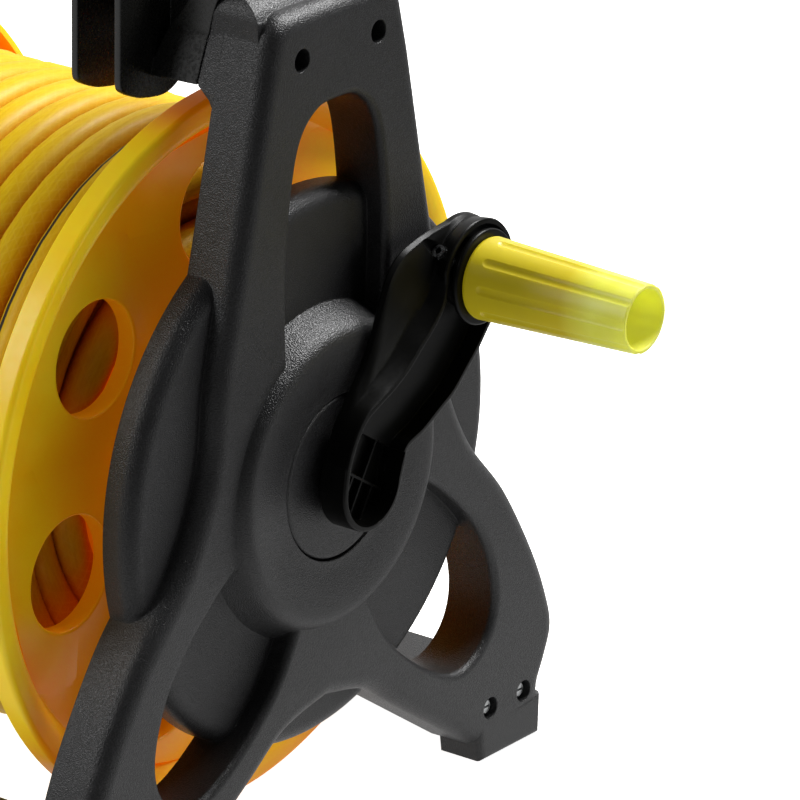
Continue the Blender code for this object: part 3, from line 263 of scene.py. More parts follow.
def hose_tube(route):
    """A round tube along the route. Its UV map runs once round it and, in metres, along it."""
    bm = bmesh.new()
    uv = bm.loops.layers.uv.new("round_and_along")
    rings = []
    along = [0.0]
    for i, (turn, point) in enumerate(route):
        before = route[max(i - 1, 0)][1]
        after = route[min(i + 1, len(route) - 1)][1]
        tangent = (after - before).normalized()
        outward = Vector((0, point.y, point.z))
        outward = (outward - tangent * outward.dot(tangent)).normalized()
        side = tangent.cross(outward)
        toward_inlet = side if side.x < 0 else -side
        if i:
            along.append(along[-1] + (point - route[i - 1][1]).length)
        ring = []
        for j in range(HOSE_SIDES):
            angle = line_angle(turn) + 2 * pi * j / HOSE_SIDES
            reach = cos(angle) * outward + sin(angle) * toward_inlet
            ring.append(bm.verts.new(point + HOSE_RADIUS * reach))
        rings.append(ring)
    for i in range(len(rings) - 1):
        for j in range(HOSE_SIDES):
            k = (j + 1) % HOSE_SIDES
            face = bm.faces.new((rings[i][j], rings[i + 1][j], rings[i + 1][k], rings[i][k]))
            corners = ((j, i), (j, i + 1), (j + 1, i + 1), (j + 1, i))
            for loop, (around, step) in zip(face.loops, corners):
                loop[uv].uv = (around / HOSE_SIDES, along[step])
    bm.faces.new(rings[0])
    bm.faces.new(rings[-1][::-1])
    bmesh.ops.recalc_face_normals(bm, faces=bm.faces)
    for face in bm.faces:
        face.smooth = True
    return new_object("hose", bm), along[-1]


def srgb(code):
    """A hex sRGB colour as linear RGBA."""
    values = [int(code[i:i + 2], 16) / 255 for i in (1, 3, 5)]
    return tuple(v / 12.92 if v < 0.04045 else ((v + 0.055) / 1.055) ** 2.4 for v in values) + (1,)


def fill(node, inputs):
    """Sets a node's inputs, by name or in their own order, to values or to other nodes' outputs."""
    for name, value in (inputs.items() if isinstance(inputs, dict) else enumerate(inputs)):
        if isinstance(value, bpy.types.NodeSocket):
            node.id_data.links.new(value, node.inputs[name])
        else:
            node.inputs[name].default_value = value


def add_node(tree, kind, inputs=(), output=0, **settings):
    """Adds a node with its settings and links, and gives one of its outputs."""
    node = tree.nodes.new(kind)
    for name, value in settings.items():
        setattr(node, name, value)
    fill(node, inputs)
    return node.outputs[output] if node.outputs else None


def new_material(name, **constants):
    """A Principled material with its constants set on the shader's own sockets."""
    material = bpy.data.materials.new(name)
    material.use_nodes = True
    shader = material.node_tree.nodes["Principled BSDF"]
    fill(shader, {socket.replace("_", " "): value for socket, value in constants.items()})
    return material, material.node_tree, shader


def tinted(tree, under, over, value, start, end, most=1):
    """One colour laid over another as a value goes from start to end, up to a share of most."""
    under, over = (srgb(colour) if isinstance(colour, str) else colour for colour in (under, over))
    share = add_node(tree, "ShaderNodeMapRange", [value, start, end, 0, most])
    return add_node(tree, "ShaderNodeMix", {0: share, 6: under, 7: over}, 2, data_type="RGBA")


# Soft PVC, extruded: a clear glossy skin with long drawing marks over a braid that just shows
HOSE_PVC, tree, shader = new_material(
    "soft_pvc_extruded", Roughness=0.46, Specular_IOR_Level=0.16, Coat_Weight=0.03, Coat_Roughness=0.2)
CIRCUMFERENCE = pi * HOSE_DIAMETER
MARK_WIDTH = 1.1 * MM
MARK_STRETCH = 0.12
THREAD_SPACING = 6 * MM
THREADS_ROUND = 9
LINE_HALF = 1 * MM / CIRCUMFERENCE

uv = add_node(tree, "ShaderNodeUVMap", uv_map="round_and_along")
around = add_node(tree, "ShaderNodeSeparateXYZ", [uv], "X")
along = add_node(tree, "ShaderNodeSeparateXYZ", [uv], "Y")
across_marks = add_node(tree, "ShaderNodeMath", [around, CIRCUMFERENCE], operation="MULTIPLY")
along_marks = add_node(tree, "ShaderNodeMath", [along, MARK_STRETCH], operation="MULTIPLY")
marks = add_node(tree, "ShaderNodeTexNoise", {
    "Vector": add_node(tree, "ShaderNodeCombineXYZ", [across_marks, along_marks]),
    "Scale": 1 / MARK_WIDTH, "Detail": 3, "Roughness": 0.5})
# Braid threads cross the tube both ways at about 45 degrees
lengthwise = add_node(tree, "ShaderNodeMath", [along, 2 * pi / THREAD_SPACING], operation="MULTIPLY")
crosswise = add_node(tree, "ShaderNodeMath", [around, 2 * pi * THREADS_ROUND], operation="MULTIPLY")
phases = [add_node(tree, "ShaderNodeMath", [lengthwise, crosswise], operation=way)
          for way in ("ADD", "SUBTRACT")]
threads = [add_node(tree, "ShaderNodeMath", [phase], operation="COSINE") for phase in phases]
crossing = add_node(tree, "ShaderNodeMath", threads, operation="MAXIMUM")
# Painted shade: where neighbouring turns stand close, the colour is darkened to a deeper orange
occlusion_shade = add_node(tree, "ShaderNodeAmbientOcclusion", {"Distance": 14 * MM}, "AO", samples=6)
wrapped = add_node(tree, "ShaderNodeMath", [around, 0.5], operation="PINGPONG")
skin = tinted(tree, "#E0B004", "#EBC417", marks, 0.3, 0.7)
skin = tinted(tree, "#C87A06", skin, occlusion_shade, 0.2, 0.85)
skin = tinted(tree, skin, "#F3D04A", crossing, 0.75, 1, 0.16)
skin = tinted(tree, skin, "#2C2A2E", wrapped, 1.5 * LINE_HALF, LINE_HALF)
scratches = add_node(tree, "ShaderNodeBump", {"Height": marks, "Strength": 0.35, "Distance": 0.12 * MM})
fill(shader, {"Base Color": skin, "Normal": scratches})

AXIS_POINT = Vector((DRUM_X, 0, HUB_HEIGHT))
TURNS_AND_POINTS = hose_route()
HOSE, HOSE_LENGTH = hose_tube(TURNS_AND_POINTS)
HOSE.data.transform(Matrix.Translation(AXIS_POINT))
HOSE.data.materials.append(HOSE_PVC)
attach(HOSE, "drum")
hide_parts("hose_coil", "hose_tail")


# Hose end
# A click connector in moulded acetal and polypropylene: a ribbed clamping nut on the hose, then a
# sliding collar with a round mouth.
def arc(centre, radius, start, end, count):
    """Points on an arc, with its ends, at angles in degrees."""
    angles = [radians(start + (end - start) * i / count) for i in range(count + 1)]
    return [(centre[0] + radius * cos(a), centre[1] + radius * sin(a)) for a in angles]


def turned(name, profile, steps, centre=(0, 0)):
    """A profile of X and radius, turned about an axis along X. Ends on the axis close it."""
    bm = bmesh.new()
    verts = [bm.verts.new((x, radius, 0)) for x, radius in profile]
    edges = [bm.edges.new(pair) for pair in zip(verts, verts[1:])]
    if profile[0][1] > 0:
        edges.append(bm.edges.new((verts[-1], verts[0])))
    bmesh.ops.spin(bm, geom=verts + edges, cent=(0, 0, 0), axis=(1, 0, 0), angle=2 * pi,
                   steps=steps, use_merge=True)
    bmesh.ops.remove_doubles(bm, verts=bm.verts, dist=1e-6)
    bmesh.ops.translate(bm, verts=bm.verts, vec=(0, *centre))
    bmesh.ops.recalc_face_normals(bm, faces=bm.faces)
    return new_object(name, bm)


def rod(name, radius, low, high, centre=(0, 0), steps=48):
    """A cylinder along X."""
    return turned(name, [(low, 0), (low, radius), (high, radius), (high, 0)], steps, centre)


def turn_about_x(obj, angle):
    obj.data.transform(Matrix.Rotation(angle, 4, "X"))
    return obj


def combine(target, tool, operation):
    """Applies a Boolean to the target and removes the tool."""
    modifier = target.modifiers.new("join", "BOOLEAN")
    modifier.operation = operation
    modifier.solver = "MANIFOLD"
    modifier.object = tool
    graph = bpy.context.evaluated_depsgraph_get()
    mesh = bpy.data.meshes.new_from_object(target.evaluated_get(graph))
    target.modifiers.clear()
    target.data = mesh
    bpy.data.objects.remove(tool, do_unlink=True)
    return target


def cut(target, tool):
    return combine(target, tool, "DIFFERENCE")


def add(target, tool):
    return combine(target, tool, "UNION")


def finish_piece(obj, material, body, nodes, place=None, edge=32):
    """Shades a piece, gives it its material and place, puts it on its body and hides the nodes it stands for.
    """
    bm = bmesh.new()
    bm.from_mesh(obj.data)
    bmesh.ops.remove_doubles(bm, verts=bm.verts, dist=4e-6)
    bmesh.ops.dissolve_limit(bm, angle_limit=radians(0.3), verts=bm.verts, edges=bm.edges)
    bmesh.ops.triangulate(bm, faces=bm.faces)
    bm.to_mesh(obj.data)
    bm.free()
    if place is not None:
        obj.data.transform(place)
    obj.data.materials.clear()
    obj.data.materials.append(material)
    obj.data.shade_smooth()
    obj.data.set_sharp_from_angle(angle=radians(edge))
    weighted = obj.modifiers.new("weighted_normals", "WEIGHTED_NORMAL")
    weighted.keep_sharp = True
    weighted.weight = 60
    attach(obj, body)
    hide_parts(*nodes)
    return obj


def hose_connector(material):
    r = 12 * MM
    length = 42 * MM
    mouth = 7.4 * MM
    nut = (arc((1.5 * MM, r - 1.5 * MM), 1.5 * MM, 180, 90, 6)
           + arc((17 * MM, r - 1 * MM), 1 * MM, 90, 0, 5))
    collar = (arc((25 * MM, r - 1.3 * MM), 1.0 * MM, 180, 90, 5)
              + arc((length - 2 * MM, r - 2.3 * MM), 2.0 * MM, 90, 10, 6))
    profile = ([(0, 0), (0, r - 1.5 * MM)] + nut + [(18 * MM, r - 1.6 * MM), (24 * MM, r - 1.6 * MM)] + collar
               + [(length, r - 3.2 * MM), (length, mouth + 0.6 * MM), (length - 1 * MM, mouth),
                  (length - 20 * MM, mouth), (length - 20 * MM, 0)])
    connector = turned("click_connector", profile, 96)
    for i in range(20):
        groove = rod("groove", 1.0 * MM, 2.5 * MM, 16 * MM, (r + 0.45 * MM, 0), 12)
        cut(connector, turn_about_x(groove, 2 * pi * i / 20))
    for i in range(3):
        low = (30 + 3 * i) * MM
        ring = [(low, r - 0.6 * MM), (low + 0.5 * MM, r - 1.0 * MM), (low + 1.0 * MM, r - 0.6 * MM),
                (low + 1.0 * MM, r + 1 * MM), (low, r + 1 * MM)]
        cut(connector, turned("ring_groove", ring, 96))
    end = pi / 2 - 2 * pi * TAIL_ENDS
    along = Vector((0, sin(end), -cos(end)))
    outward = Vector((0, cos(end), sin(end)))
    start = outward * (TAIL_RADIUS + r - HOSE_RADIUS) + along * (TAIL_STRAIGHT + 0.3 * MM)
    turn = Matrix.Rotation(end - pi / 2, 4, "X") @ Matrix.Rotation(pi / 2, 4, "Z")
    place = Matrix.Translation(AXIS_POINT + Vector((TAIL_X, 0, 0)) + start) @ turn
    return finish_piece(connector, material, "drum", ["hose_end_connector"], place)


def add_skin(tree, shader, patches, shades, flecks, gloss, waves=None, edge=None):
    """Two close shades in patches, roughness that varies in flecks, low waves and broken sharp edges.

    Patches and flecks are given by width, detail and roughness, waves by width, strength and height, and
    edge by its radius. Gives the colour.
    """
    place = add_node(tree, "ShaderNodeTexCoord", output="Object")
    patchy, flecked = (
        add_node(tree, "ShaderNodeTexNoise", {"Vector": place, "Scale": 1 / width, "Detail": detail,
                                              "Roughness": roughness})
        for width, detail, roughness in (patches, flecks))
    skin = tinted(tree, *shades, patchy, 0.3, 0.7)
    fill(shader, {"Base Color": skin,
                  "Roughness": add_node(tree, "ShaderNodeMapRange", [flecked, 0.3, 0.7, *gloss])})
    normal = {}
    if edge:
        normal = {"Normal": add_node(tree, "ShaderNodeBevel", {"Radius": edge}, samples=4)}
    if waves:
        width, strength, height = waves
        swell = add_node(tree, "ShaderNodeTexNoise", {"Vector": place, "Scale": 1 / width, "Detail": 2,
                                                      "Roughness": 0.5})
        normal = {"Normal": add_node(tree, "ShaderNodeBump", {"Height": swell, "Strength": strength,
                                                              "Distance": height, **normal})}
    fill(shader, normal)
    return skin


def dress(node_name, material):
    """Gives a CAD node a finish in place of its plain one."""
    obj = frame["nodes"][node_name]
    for holder in [obj] + list(obj.children):
        if holder.type == "MESH":
            for slot in holder.material_slots:
                slot.material = material
            holder.data.shade_smooth()
            holder.data.set_sharp_from_angle(angle=radians(35))


# Acetal, moulded: opaque warm yellow with a satin skin
FITTING_YELLOW, tree, shader = new_material(
    "acetal_moulded_yellow", IOR=1.48, Coat_Weight=0.15, Coat_Roughness=0.25)
add_skin(tree, shader, (14 * MM, 2, 0.5), ("#F0C013", "#F4CB2A"), (2 * MM, 2, 0.5), (0.32, 0.42),
         (0.7 * MM, 0.12, 0.1 * MM))
# Zinc-plated steel, rolled and tumbled: bright grey metal with a faint cloudy bloom
ZINC, tree, shader = new_material("steel_zinc_plated", Metallic=1.0)
add_skin(tree, shader, (1.6 * MM, 3, 0.5), ("#A9ABAC", "#C9CBCB"), (1.6 * MM, 3, 0.5), (0.22, 0.4),
         (0.25 * MM, 0.1, 0.05 * MM))
CONNECTOR = hose_connector(FITTING_YELLOW)
dress("hose_clamp", ZINC)


# Stage
# A plain pale floor in white surroundings, and three large soft lamps: above and behind the reel, to its
# left and to its right.
TOWARD_CAMERA = (0.6, -0.8, 0)
FROM_CAMERA = (-0.6, 0.8, 0)
RIGHTWARD = (0.8, 0.6, 0)
WHITE = (1, 1, 1, 1)
LAMP_AIM = Vector((0, 0, 0.2))
# Name, place, width, height and watts
LAMPS = (("lamp_top", (0.42, 0.95, 1.55), 0.8, 0.55, 46),
         ("lamp_left", (-1.0, -1.4, 1.2), 0.9, 0.9, 17),
         ("lamp_right", (1.9, 0.9, 0.4), 0.5, 1.0, 3.5))


def make_floor():
    """Lit from below, but unlit in front of the reel: rounded edges mirror that as their dark lines."""
    bm = bmesh.new()
    bmesh.ops.create_grid(bm, x_segments=1, y_segments=1, size=6)
    floor = new_object("floor", bm)
    material, tree, shader = new_material(
        "floor_pale", Roughness=0.9, Specular_IOR_Level=0.1, Emission_Color=WHITE)
    place = add_node(tree, "ShaderNodeTexCoord", output="Object")
    toward, rightward = (
        add_node(tree, "ShaderNodeVectorMath", [place, way], "Value", operation="DOT_PRODUCT")
        for way in (TOWARD_CAMERA, RIGHTWARD))
    middle = add_node(tree, "ShaderNodeMath", [rightward, 0.1], operation="SUBTRACT")
    aside = add_node(tree, "ShaderNodeMath", [middle], operation="ABSOLUTE")
    near = add_node(tree, "ShaderNodeMapRange", [toward, 0.25, 0.6, 0, 1])
    before = add_node(tree, "ShaderNodeMapRange", [aside, 0.3, 0.55, 1, 0])
    unlit = add_node(tree, "ShaderNodeMath", [near, before], operation="MULTIPLY")
    # The light fades to the right
    fade = add_node(tree, "ShaderNodeMapRange", [rightward, 0.3, 0.8, 0.6, 0.03])
    gap = add_node(tree, "ShaderNodeMapRange", [unlit, 0, 1, 1, 0.05])
    lit = add_node(tree, "ShaderNodeMath", [fade, gap], operation="MULTIPLY")
    looked_at = add_node(tree, "ShaderNodeLightPath", output="Is Camera Ray")
    glow = add_node(tree, "ShaderNodeMath", [lit, looked_at], operation="MAXIMUM")
    fill(shader, {"Base Color": tinted(tree, "#707070", "#F4F4F2", looked_at, 0, 1),
                  "Emission Strength": glow})
    floor.data.materials.append(material)


def make_world():
    """White to look at, dim for its light, with a backdrop that the tops of hose and grip mirror."""
    world = bpy.data.worlds.new("white_surround")
    world.use_nodes = True
    tree = world.node_tree
    tree.nodes.clear()
    looked_at = add_node(tree, "ShaderNodeLightPath", output="Is Camera Ray")
    way = add_node(tree, "ShaderNodeTexCoord", output="Generated")
    behind = add_node(tree, "ShaderNodeVectorMath", [way, FROM_CAMERA], "Value", operation="DOT_PRODUCT")
    backdrop = add_node(tree, "ShaderNodeMapRange", [behind, 0.45, 0.8, 0.07, 0.7])
    dim, bright = (add_node(tree, "ShaderNodeBackground", {"Color": WHITE, "Strength": strength})
                   for strength in (backdrop, 1.1))
    mixed = add_node(tree, "ShaderNodeMixShader", [looked_at, dim, bright])
    add_node(tree, "ShaderNodeOutputWorld", {"Surface": mixed})
    bpy.context.scene.world = world
    bpy.context.scene.view_settings.view_transform = "Standard"


make_floor()
make_world()
for name, place, width, height, watts in LAMPS:
    light = bpy.data.lights.new(name, "AREA")
    light.shape = "RECTANGLE"
    light.size = width
    light.size_y = height
    light.energy = watts
    lamp = bpy.data.objects.new(name, light)
    bpy.context.scene.collection.objects.link(lamp)
    lamp.location = place
    lamp.rotation_mode = "QUATERNION"
    lamp.rotation_quaternion = (LAMP_AIM - Vector(place)).to_track_quat("-Z", "Y")


# Drum
# Two flanges and a barrel, injection moulded in translucent yellow polypropylene. Each flange has seven
# holes, each at the top of a low cone, and a cone and a rolled rim outside them.
FLANGE_LOW, FLANGE_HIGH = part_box("drum_flange_crank")
FLANGE_RADIUS = (FLANGE_HIGH[2] - FLANGE_LOW[2]) / 2
FLANGE_WALL = 2.6 * MM
RIM_RISE = 16 * MM
FLANGE_FACE = 100 * MM
HUB_LENGTH = 31.7 * MM
HOLE_RADIUS = 24.5 * MM
HOLE_PITCH = 103 * MM
HOLES = 7
HOLE_PHASE = radians(144)
CONE_BASE_RADIUS = 53 * MM
CONE_EDGE_RADIUS = 137.5 * MM
CONE_RISE = 5.5 * MM
LIP_ROUND = 0.8 * MM
JOURNAL_RADIUS = 16 * MM
CONE_RADIUS = FLANGE_RADIUS - 19 * MM


def smooth(points, steps=8):
    """A Catmull-Rom curve through the points, given in millimetres, as points in metres."""
    ends = [points[0]] + list(points) + [points[-1]]
    curve = []
    for a, b, c, d in zip(ends, ends[1:], ends[2:], ends[3:]):
        for i in range(steps):
            t = i / steps
            curve.append(tuple(
                MM * 0.5 * (2 * q + (r - p) * t + (2 * p - 5 * q + 4 * r - s) * t * t
                            + (3 * q - p - 3 * r + s) * t ** 3)
                for p, q, r, s in zip(a, b, c, d)))
    curve.append((MM * points[-1][0], MM * points[-1][1]))
    return curve


def flange_profile():
    """Half section, outwards from the winding side: hub, web, cone and rolled rim with rounded turns."""
    rim = FLANGE_RADIUS
    edge = RIM_RISE - FLANGE_WALL
    outer = ([(FLANGE_WALL, 25 * MM), (FLANGE_WALL, CONE_RADIUS - 1.5 * MM),
              (FLANGE_WALL + 0.6 * MM, CONE_RADIUS)]
             + smooth([(11, 142.6), (13.6, 145), (15.2, 147.6), (15.9, 150.6), (16, 153.2)], 5)
             + arc((edge, rim - FLANGE_WALL), FLANGE_WALL, 0, 90, 8))
    inner = [(5 * MM, rim), (5 * MM, rim - FLANGE_WALL), (edge, rim - FLANGE_WALL), (edge, rim - 8 * MM),
             (0, CONE_RADIUS + 2 * MM), (0, 0)]
    return [(HUB_LENGTH, 0), (HUB_LENGTH, 24 * MM)] + outer + inner


def box(name, low, high):
    bm = bmesh.new()
    bmesh.ops.create_cube(bm, size=1)
    size = Vector(high) - Vector(low)
    middle = (Vector(high) + Vector(low)) / 2
    bmesh.ops.transform(bm, verts=bm.verts, matrix=Matrix.Translation(middle) @ Matrix.Diagonal((*size, 1)))
    return new_object(name, bm)


def hole_places():
    angles = [HOLE_PHASE + 2 * pi * i / HOLES for i in range(HOLES)]
    return [(HOLE_PITCH * cos(a), HOLE_PITCH * sin(a)) for a in angles]


def flange_body(name):
    flange = turned(name, flange_profile(), 192)
    for i in range(6):
        rib = box("rib", (1 * MM, 20 * MM, -1 * MM), (HUB_LENGTH - 5 * MM, 62 * MM, 1 * MM))
        for vertex in rib.data.vertices:
            if vertex.co.x > 2 * MM and vertex.co.y > 30 * MM:
                vertex.co.x = 4 * MM
        add(flange, turn_about_x(rib, 2 * pi * (i + 0.5) / 6))
    top = FLANGE_WALL + CONE_RISE
    lip = HOLE_RADIUS + 1.6 * MM
    low = 1 * MM
    cones = None
    for centre in hole_places():
        profile = [(low, 0), (low, CONE_BASE_RADIUS), (FLANGE_WALL - 0.3 * MM, CONE_BASE_RADIUS), (top, lip),
                   (top, 0)]
        cone = turned("cone", profile, 128, centre)
        cones = add(cones, cone) if cones else cone
    combine(cones, rod("cones_edge", CONE_EDGE_RADIUS, 0, top + 5 * MM, steps=160), "INTERSECT")
    add(flange, cones)
    for centre in hole_places():
        flare = [(top - LIP_ROUND + LIP_ROUND * sin(a), HOLE_RADIUS + LIP_ROUND * (1 - cos(a)))
                 for a in (pi / 2 * i / 5 for i in range(6))]
        bore = [(-5 * MM, 0), (-5 * MM, HOLE_RADIUS)] + flare + [(40 * MM, flare[-1][1]), (40 * MM, 0)]
        cut(flange, turned("hole", bore, 96, centre))
    bore = 68.4 * MM
    ring = [(-5 * MM, bore - 2.4 * MM), (1 * MM, bore - 2.4 * MM), (1 * MM, bore), (-5 * MM, bore)]
    add(flange, turned("locating_ring", ring, 96))
    return flange


def drum_flanges(material):
    crank = flange_body("drum_flange_crank_side")
    cut(crank, box("socket", (4 * MM, -10.3 * MM, -10.3 * MM), (60 * MM, 10.3 * MM, 10.3 * MM)))
    cut(crank, rod("screw_bore", 2.8 * MM, -10 * MM, 20 * MM, steps=24))
    place = Matrix.Translation(AXIS_POINT + Vector((FLANGE_FACE, 0, 0)))
    finish_piece(crank, material, "drum", ["drum_flange_crank"], place)
    inlet = flange_body("drum_flange_inlet_side")
    cut(inlet, rod("plug_bore", 12.3 * MM, -10 * MM, 90 * MM, steps=72))
    place = Matrix.Translation(AXIS_POINT - Vector((FLANGE_FACE, 0, 0))) @ Matrix.Rotation(pi, 4, "Z")
    finish_piece(inlet, material, "drum", ["drum_flange_inlet"], place)


# Polypropylene, moulded thin: a bright yellow that passes light, with a painted glow in its own colour
# standing in for light through the wall. Where the wound hose and the frame stand close, painted shade turns
# it deep orange.
# The emission below is a painted glow, standing in for light coming through the thin wall
DRUM_YELLOW, tree, shader = new_material(
    "polypropylene_moulded_yellow", Specular_IOR_Level=0.3, Coat_Weight=0.08, Coat_Roughness=0.2,
    Subsurface_Weight=0.5, Subsurface_Radius=(1.0, 0.6, 0.06), Subsurface_Scale=0.005, Emission_Strength=0.2)
open_skin = add_skin(tree, shader, (35 * MM, 3, 0.6), ("#F0C80E", "#F6D824"), (3 * MM, 3, 0.5), (0.3, 0.42),
                     (5 * MM, 0.1, 0.3 * MM), 0.5 * MM)
# Painted shade: deep orange where the hose and the frame stand close, and the painted glow takes the same
# colour
occlusion_shade = add_node(tree, "ShaderNodeAmbientOcclusion", {"Distance": 110 * MM}, "AO", samples=8)
skin = tinted(tree, "#EC8202", open_skin, occlusion_shade, 0.25, 0.7)
fill(shader, {"Base Color": skin, "Emission Color": skin})
drum_flanges(DRUM_YELLOW)
for part in ("drum_barrel", "inlet_journal"):
    dress(part, DRUM_YELLOW)


# Side frames
# One moulding in black polypropylene, used at both ends: a neck and two bowed legs, a round shield
# behind them and a raised boss for the bearing. Its tool was spark eroded, which leaves a fine grain.
FRAME_DEPTH = 25 * MM
FRAME_WALL = 3.2 * MM
FRAME_ROUND = 8 * MM
FRAME_TOP = 204 * MM
HEAD_HALF = 50 * MM
OPENING_ROUND = 3.5 * MM
SHIELD_RADIUS = 119.3 * MM
SHIELD_FACE = 10 * MM
SHIELD_ROUND = 8 * MM
SHIELD_BACK = 24.8 * MM
BOSS_PROUD = 4.8 * MM
HUB_DISC_RADIUS = 35.5 * MM
HUB_DISC_PROUD = 2.8 * MM
RUN_GAP = 0.4 * MM
FIT_GAP = 0.3 * MM
DISC_THICKNESS = 6 * MM
RECESS_FLOOR = HUB_DISC_PROUD - DISC_THICKNESS - FIT_GAP
SLEEVE_OUTER = JOURNAL_RADIUS + RUN_GAP + 4 * MM
SLEEVE_END = 34 * MM
# The two ends of the reel: the crank's, and the inlet's turned half round
CRANK_END = Matrix.Translation(AXIS_POINT + Vector((FACE_X, 0, 0)))
INLET_END = Matrix.Translation(AXIS_POINT - Vector((FACE_X, 0, 0))) @ Matrix.Rotation(pi, 4, "Z")


def mirrored(half):
    """A closed outline from its +Y half, whose two ends lie on the middle line."""
    return half + [(-y, z) for y, z in half[-2:0:-1]]


def area(ring):
    return sum(a[0] * b[1] - b[0] * a[1] for a, b in zip(ring, ring[1:] + ring[:1])) / 2


def inset(ring, distance):
    """The outline moved inwards by a distance, outwards if it is negative, with mitred corners."""
    side = 1 if area(ring) > 0 else -1
    moved = []
    for before, here, after in zip(ring[-1:] + ring[:-1], ring, ring[1:] + ring[:1]):
        first = Vector((here[0] - before[0], here[1] - before[1])).normalized()
        second = Vector((after[0] - here[0], after[1] - here[1])).normalized()
        normal = Vector((-first.y - second.y, first.x + second.x)).normalized() * side
        spread_out = max(normal.dot(Vector((-first.y, first.x))) * side, 0.5)
        moved.append((here[0] + normal.x * distance / spread_out, here[1] + normal.y * distance / spread_out))
    return moved


def loft(name, rings):
    """A closed solid through rings of points, with flat ends."""
    bm = bmesh.new()
    loops = [[bm.verts.new(point) for point in ring] for ring in rings]
    count = len(rings[0])
    for low, high in zip(loops, loops[1:]):
        for i in range(count):
            j = (i + 1) % count
            bm.faces.new((low[i], low[j], high[j], high[i]))
    bm.faces.new(loops[0][::-1])
    bm.faces.new(loops[-1])
    bmesh.ops.recalc_face_normals(bm, faces=bm.faces)
    return new_object(name, bm)


def at_x(x, ring):
    return [(x, y, z) for y, z in ring]


def plate(name, ring, low, high):
    """An outline in Y and Z, extruded along X."""
    return loft(name, [at_x(low, ring), at_x(high, ring)])


def rounded_plate(name, ring, low, high, radius, draft=0.0, steps=8):
    """An extrusion along X whose front edge is rounded and whose sides taper to the front."""
    rings = [at_x(low, ring)]
    for i in range(steps + 1):
        angle = pi / 2 * i / steps
        edge = inset(ring, draft + radius * (1 - cos(angle)))
        rings.append(at_x(high - radius + radius * sin(angle), edge))
    return loft(name, rings)


def side_plate(name, ring, low, high):
    """An outline in X and Z, extruded along Y."""
    return loft(name, [[(x, y, z) for x, z in ring] for y in (low, high)])


def limb_outline():
    """The A shape: a neck, two bowed legs and the arch between them. Points keep off its sharp corners."""
    side = [(50, 170), (62, 116), (75, 60), (80, 22), (97, -13), (124, -44), (146, -79), (158, -106),
            (160, -119), (156, -131), (151, -142), (150, -152)]
    arch = [(104, -157), (74, -137), (50, -121), (28, -106.5), (0, -100)]
    corner = 13 * MM
    shoulder = arc((44 * MM - corner, FRAME_TOP - corner), corner, 90, 10, 10)
    half = [(0, FRAME_TOP)] + shoulder + smooth(side) + smooth(arch)
    corners = [(150 * MM, -152 * MM), (104 * MM, -157 * MM)]
    kept = [p for p in half if min(hypot(p[0] - c[0], p[1] - c[1]) for c in corners) > 9 * MM or p in corners]
    return mirrored(kept)


def neck_opening():
    side = [(32, 40), (34, 92), (31, 127), (25, 150), (13, 161), (0, 162.5)]
    return mirrored([(0, 40 * MM)] + smooth(side))


def leg_opening(side):
    rim = [(42, -20), (62, -20.5), (87.5, -39), (107, -62), (115.5, -88), (111, -107), (96, -118),
           (79, -116), (56, -102), (35, -82), (21, -56), (20, -40)]
    return [(side * y, z) for y, z in smooth(rim)]


def openings():
    return [neck_opening(), leg_opening(1), leg_opening(-1)]


def foot_outline(side):
    low = -HUB_HEIGHT
    top = low + 19 * MM
    return [(side * 107 * MM, low), (side * 149.5 * MM, low), (side * 150 * MM, top), (side * 104 * MM, top)]


def in_mm(points):
    return [(a * MM, b * MM) for a, b in points]


def head_block():
    """The thicker head of the neck, which carries the handle."""
    crown = smooth([(-8, 201), (-11, 205.2), (-16, 208.3), (-22, 210.5), (-27, 209), (-30.4, 202.2)], 6)
    profile = ([(-8 * MM, 172 * MM)] + crown
               + in_mm([(-32.5, 191), (-34, 174), (-33.6, 172), (-31, 170.4), (-27.8, 167.4), (-25.8, 163.4),
                        (-25, 159), (-20, 158)]))
    block = side_plate("head_block", profile, -HEAD_HALF, HEAD_HALF)
    corner = 13 * MM
    shoulder = arc((43.5 * MM - corner, 213 * MM - corner), corner, 90, 8, 12)
    front = mirrored([(0, 213 * MM)] + shoulder
                     + in_mm([(43.3, 193.3), (49.5, 170), (49.5, 158), (0, 158)]))
    return combine(block, plate("head_front", front, -50 * MM, 0), "INTERSECT")


def shield_profile():
    """Half section of the round shield and of the raised boss, with rounded turns."""
    turn = SHIELD_ROUND
    rim = [(x, r) for r, x in arc((SHIELD_RADIUS - turn, -SHIELD_FACE - turn), turn, 0, 90, 10)]
    crest = BOSS_PROUD / MM
    hill = smooth([(-SHIELD_FACE / MM, 71.5), (-5, 68.4), (0, 65.5), (2.6, 63.6), (crest - 0.5, 61.2),
                   (crest, 58), (crest - 0.5, 51), (crest - 1.6, 42), (crest - 1.9, 39.5)], 6)
    back = [(-SHIELD_BACK, 0), (-SHIELD_BACK, SHIELD_RADIUS)]
    return back + rim + hill + [(BOSS_PROUD - 1.9 * MM, 0)]


def shield_hollow_profile():
    turn = SHIELD_ROUND - FRAME_WALL
    radius = SHIELD_RADIUS - FRAME_WALL
    face = -SHIELD_FACE - FRAME_WALL
    rim = [(x, r) for r, x in arc((radius - turn, face - turn), turn, 0, 90, 5)]
    return [(-50 * MM, 0), (-50 * MM, radius)] + rim + [(face, 67 * MM), (-1 * MM, 61 * MM), (-1 * MM, 0)]


def screw_places():
    """Y, Z and seat depth of each screw of one side frame."""
    places = [(side * 25 * MM, 183.5 * MM, 10 * MM) for side in (1, -1)]
    places += [(side * (124 + step * 12) * MM, -141 * MM, 5 * MM) for side in (1, -1) for step in (-1, 1)]
    return places


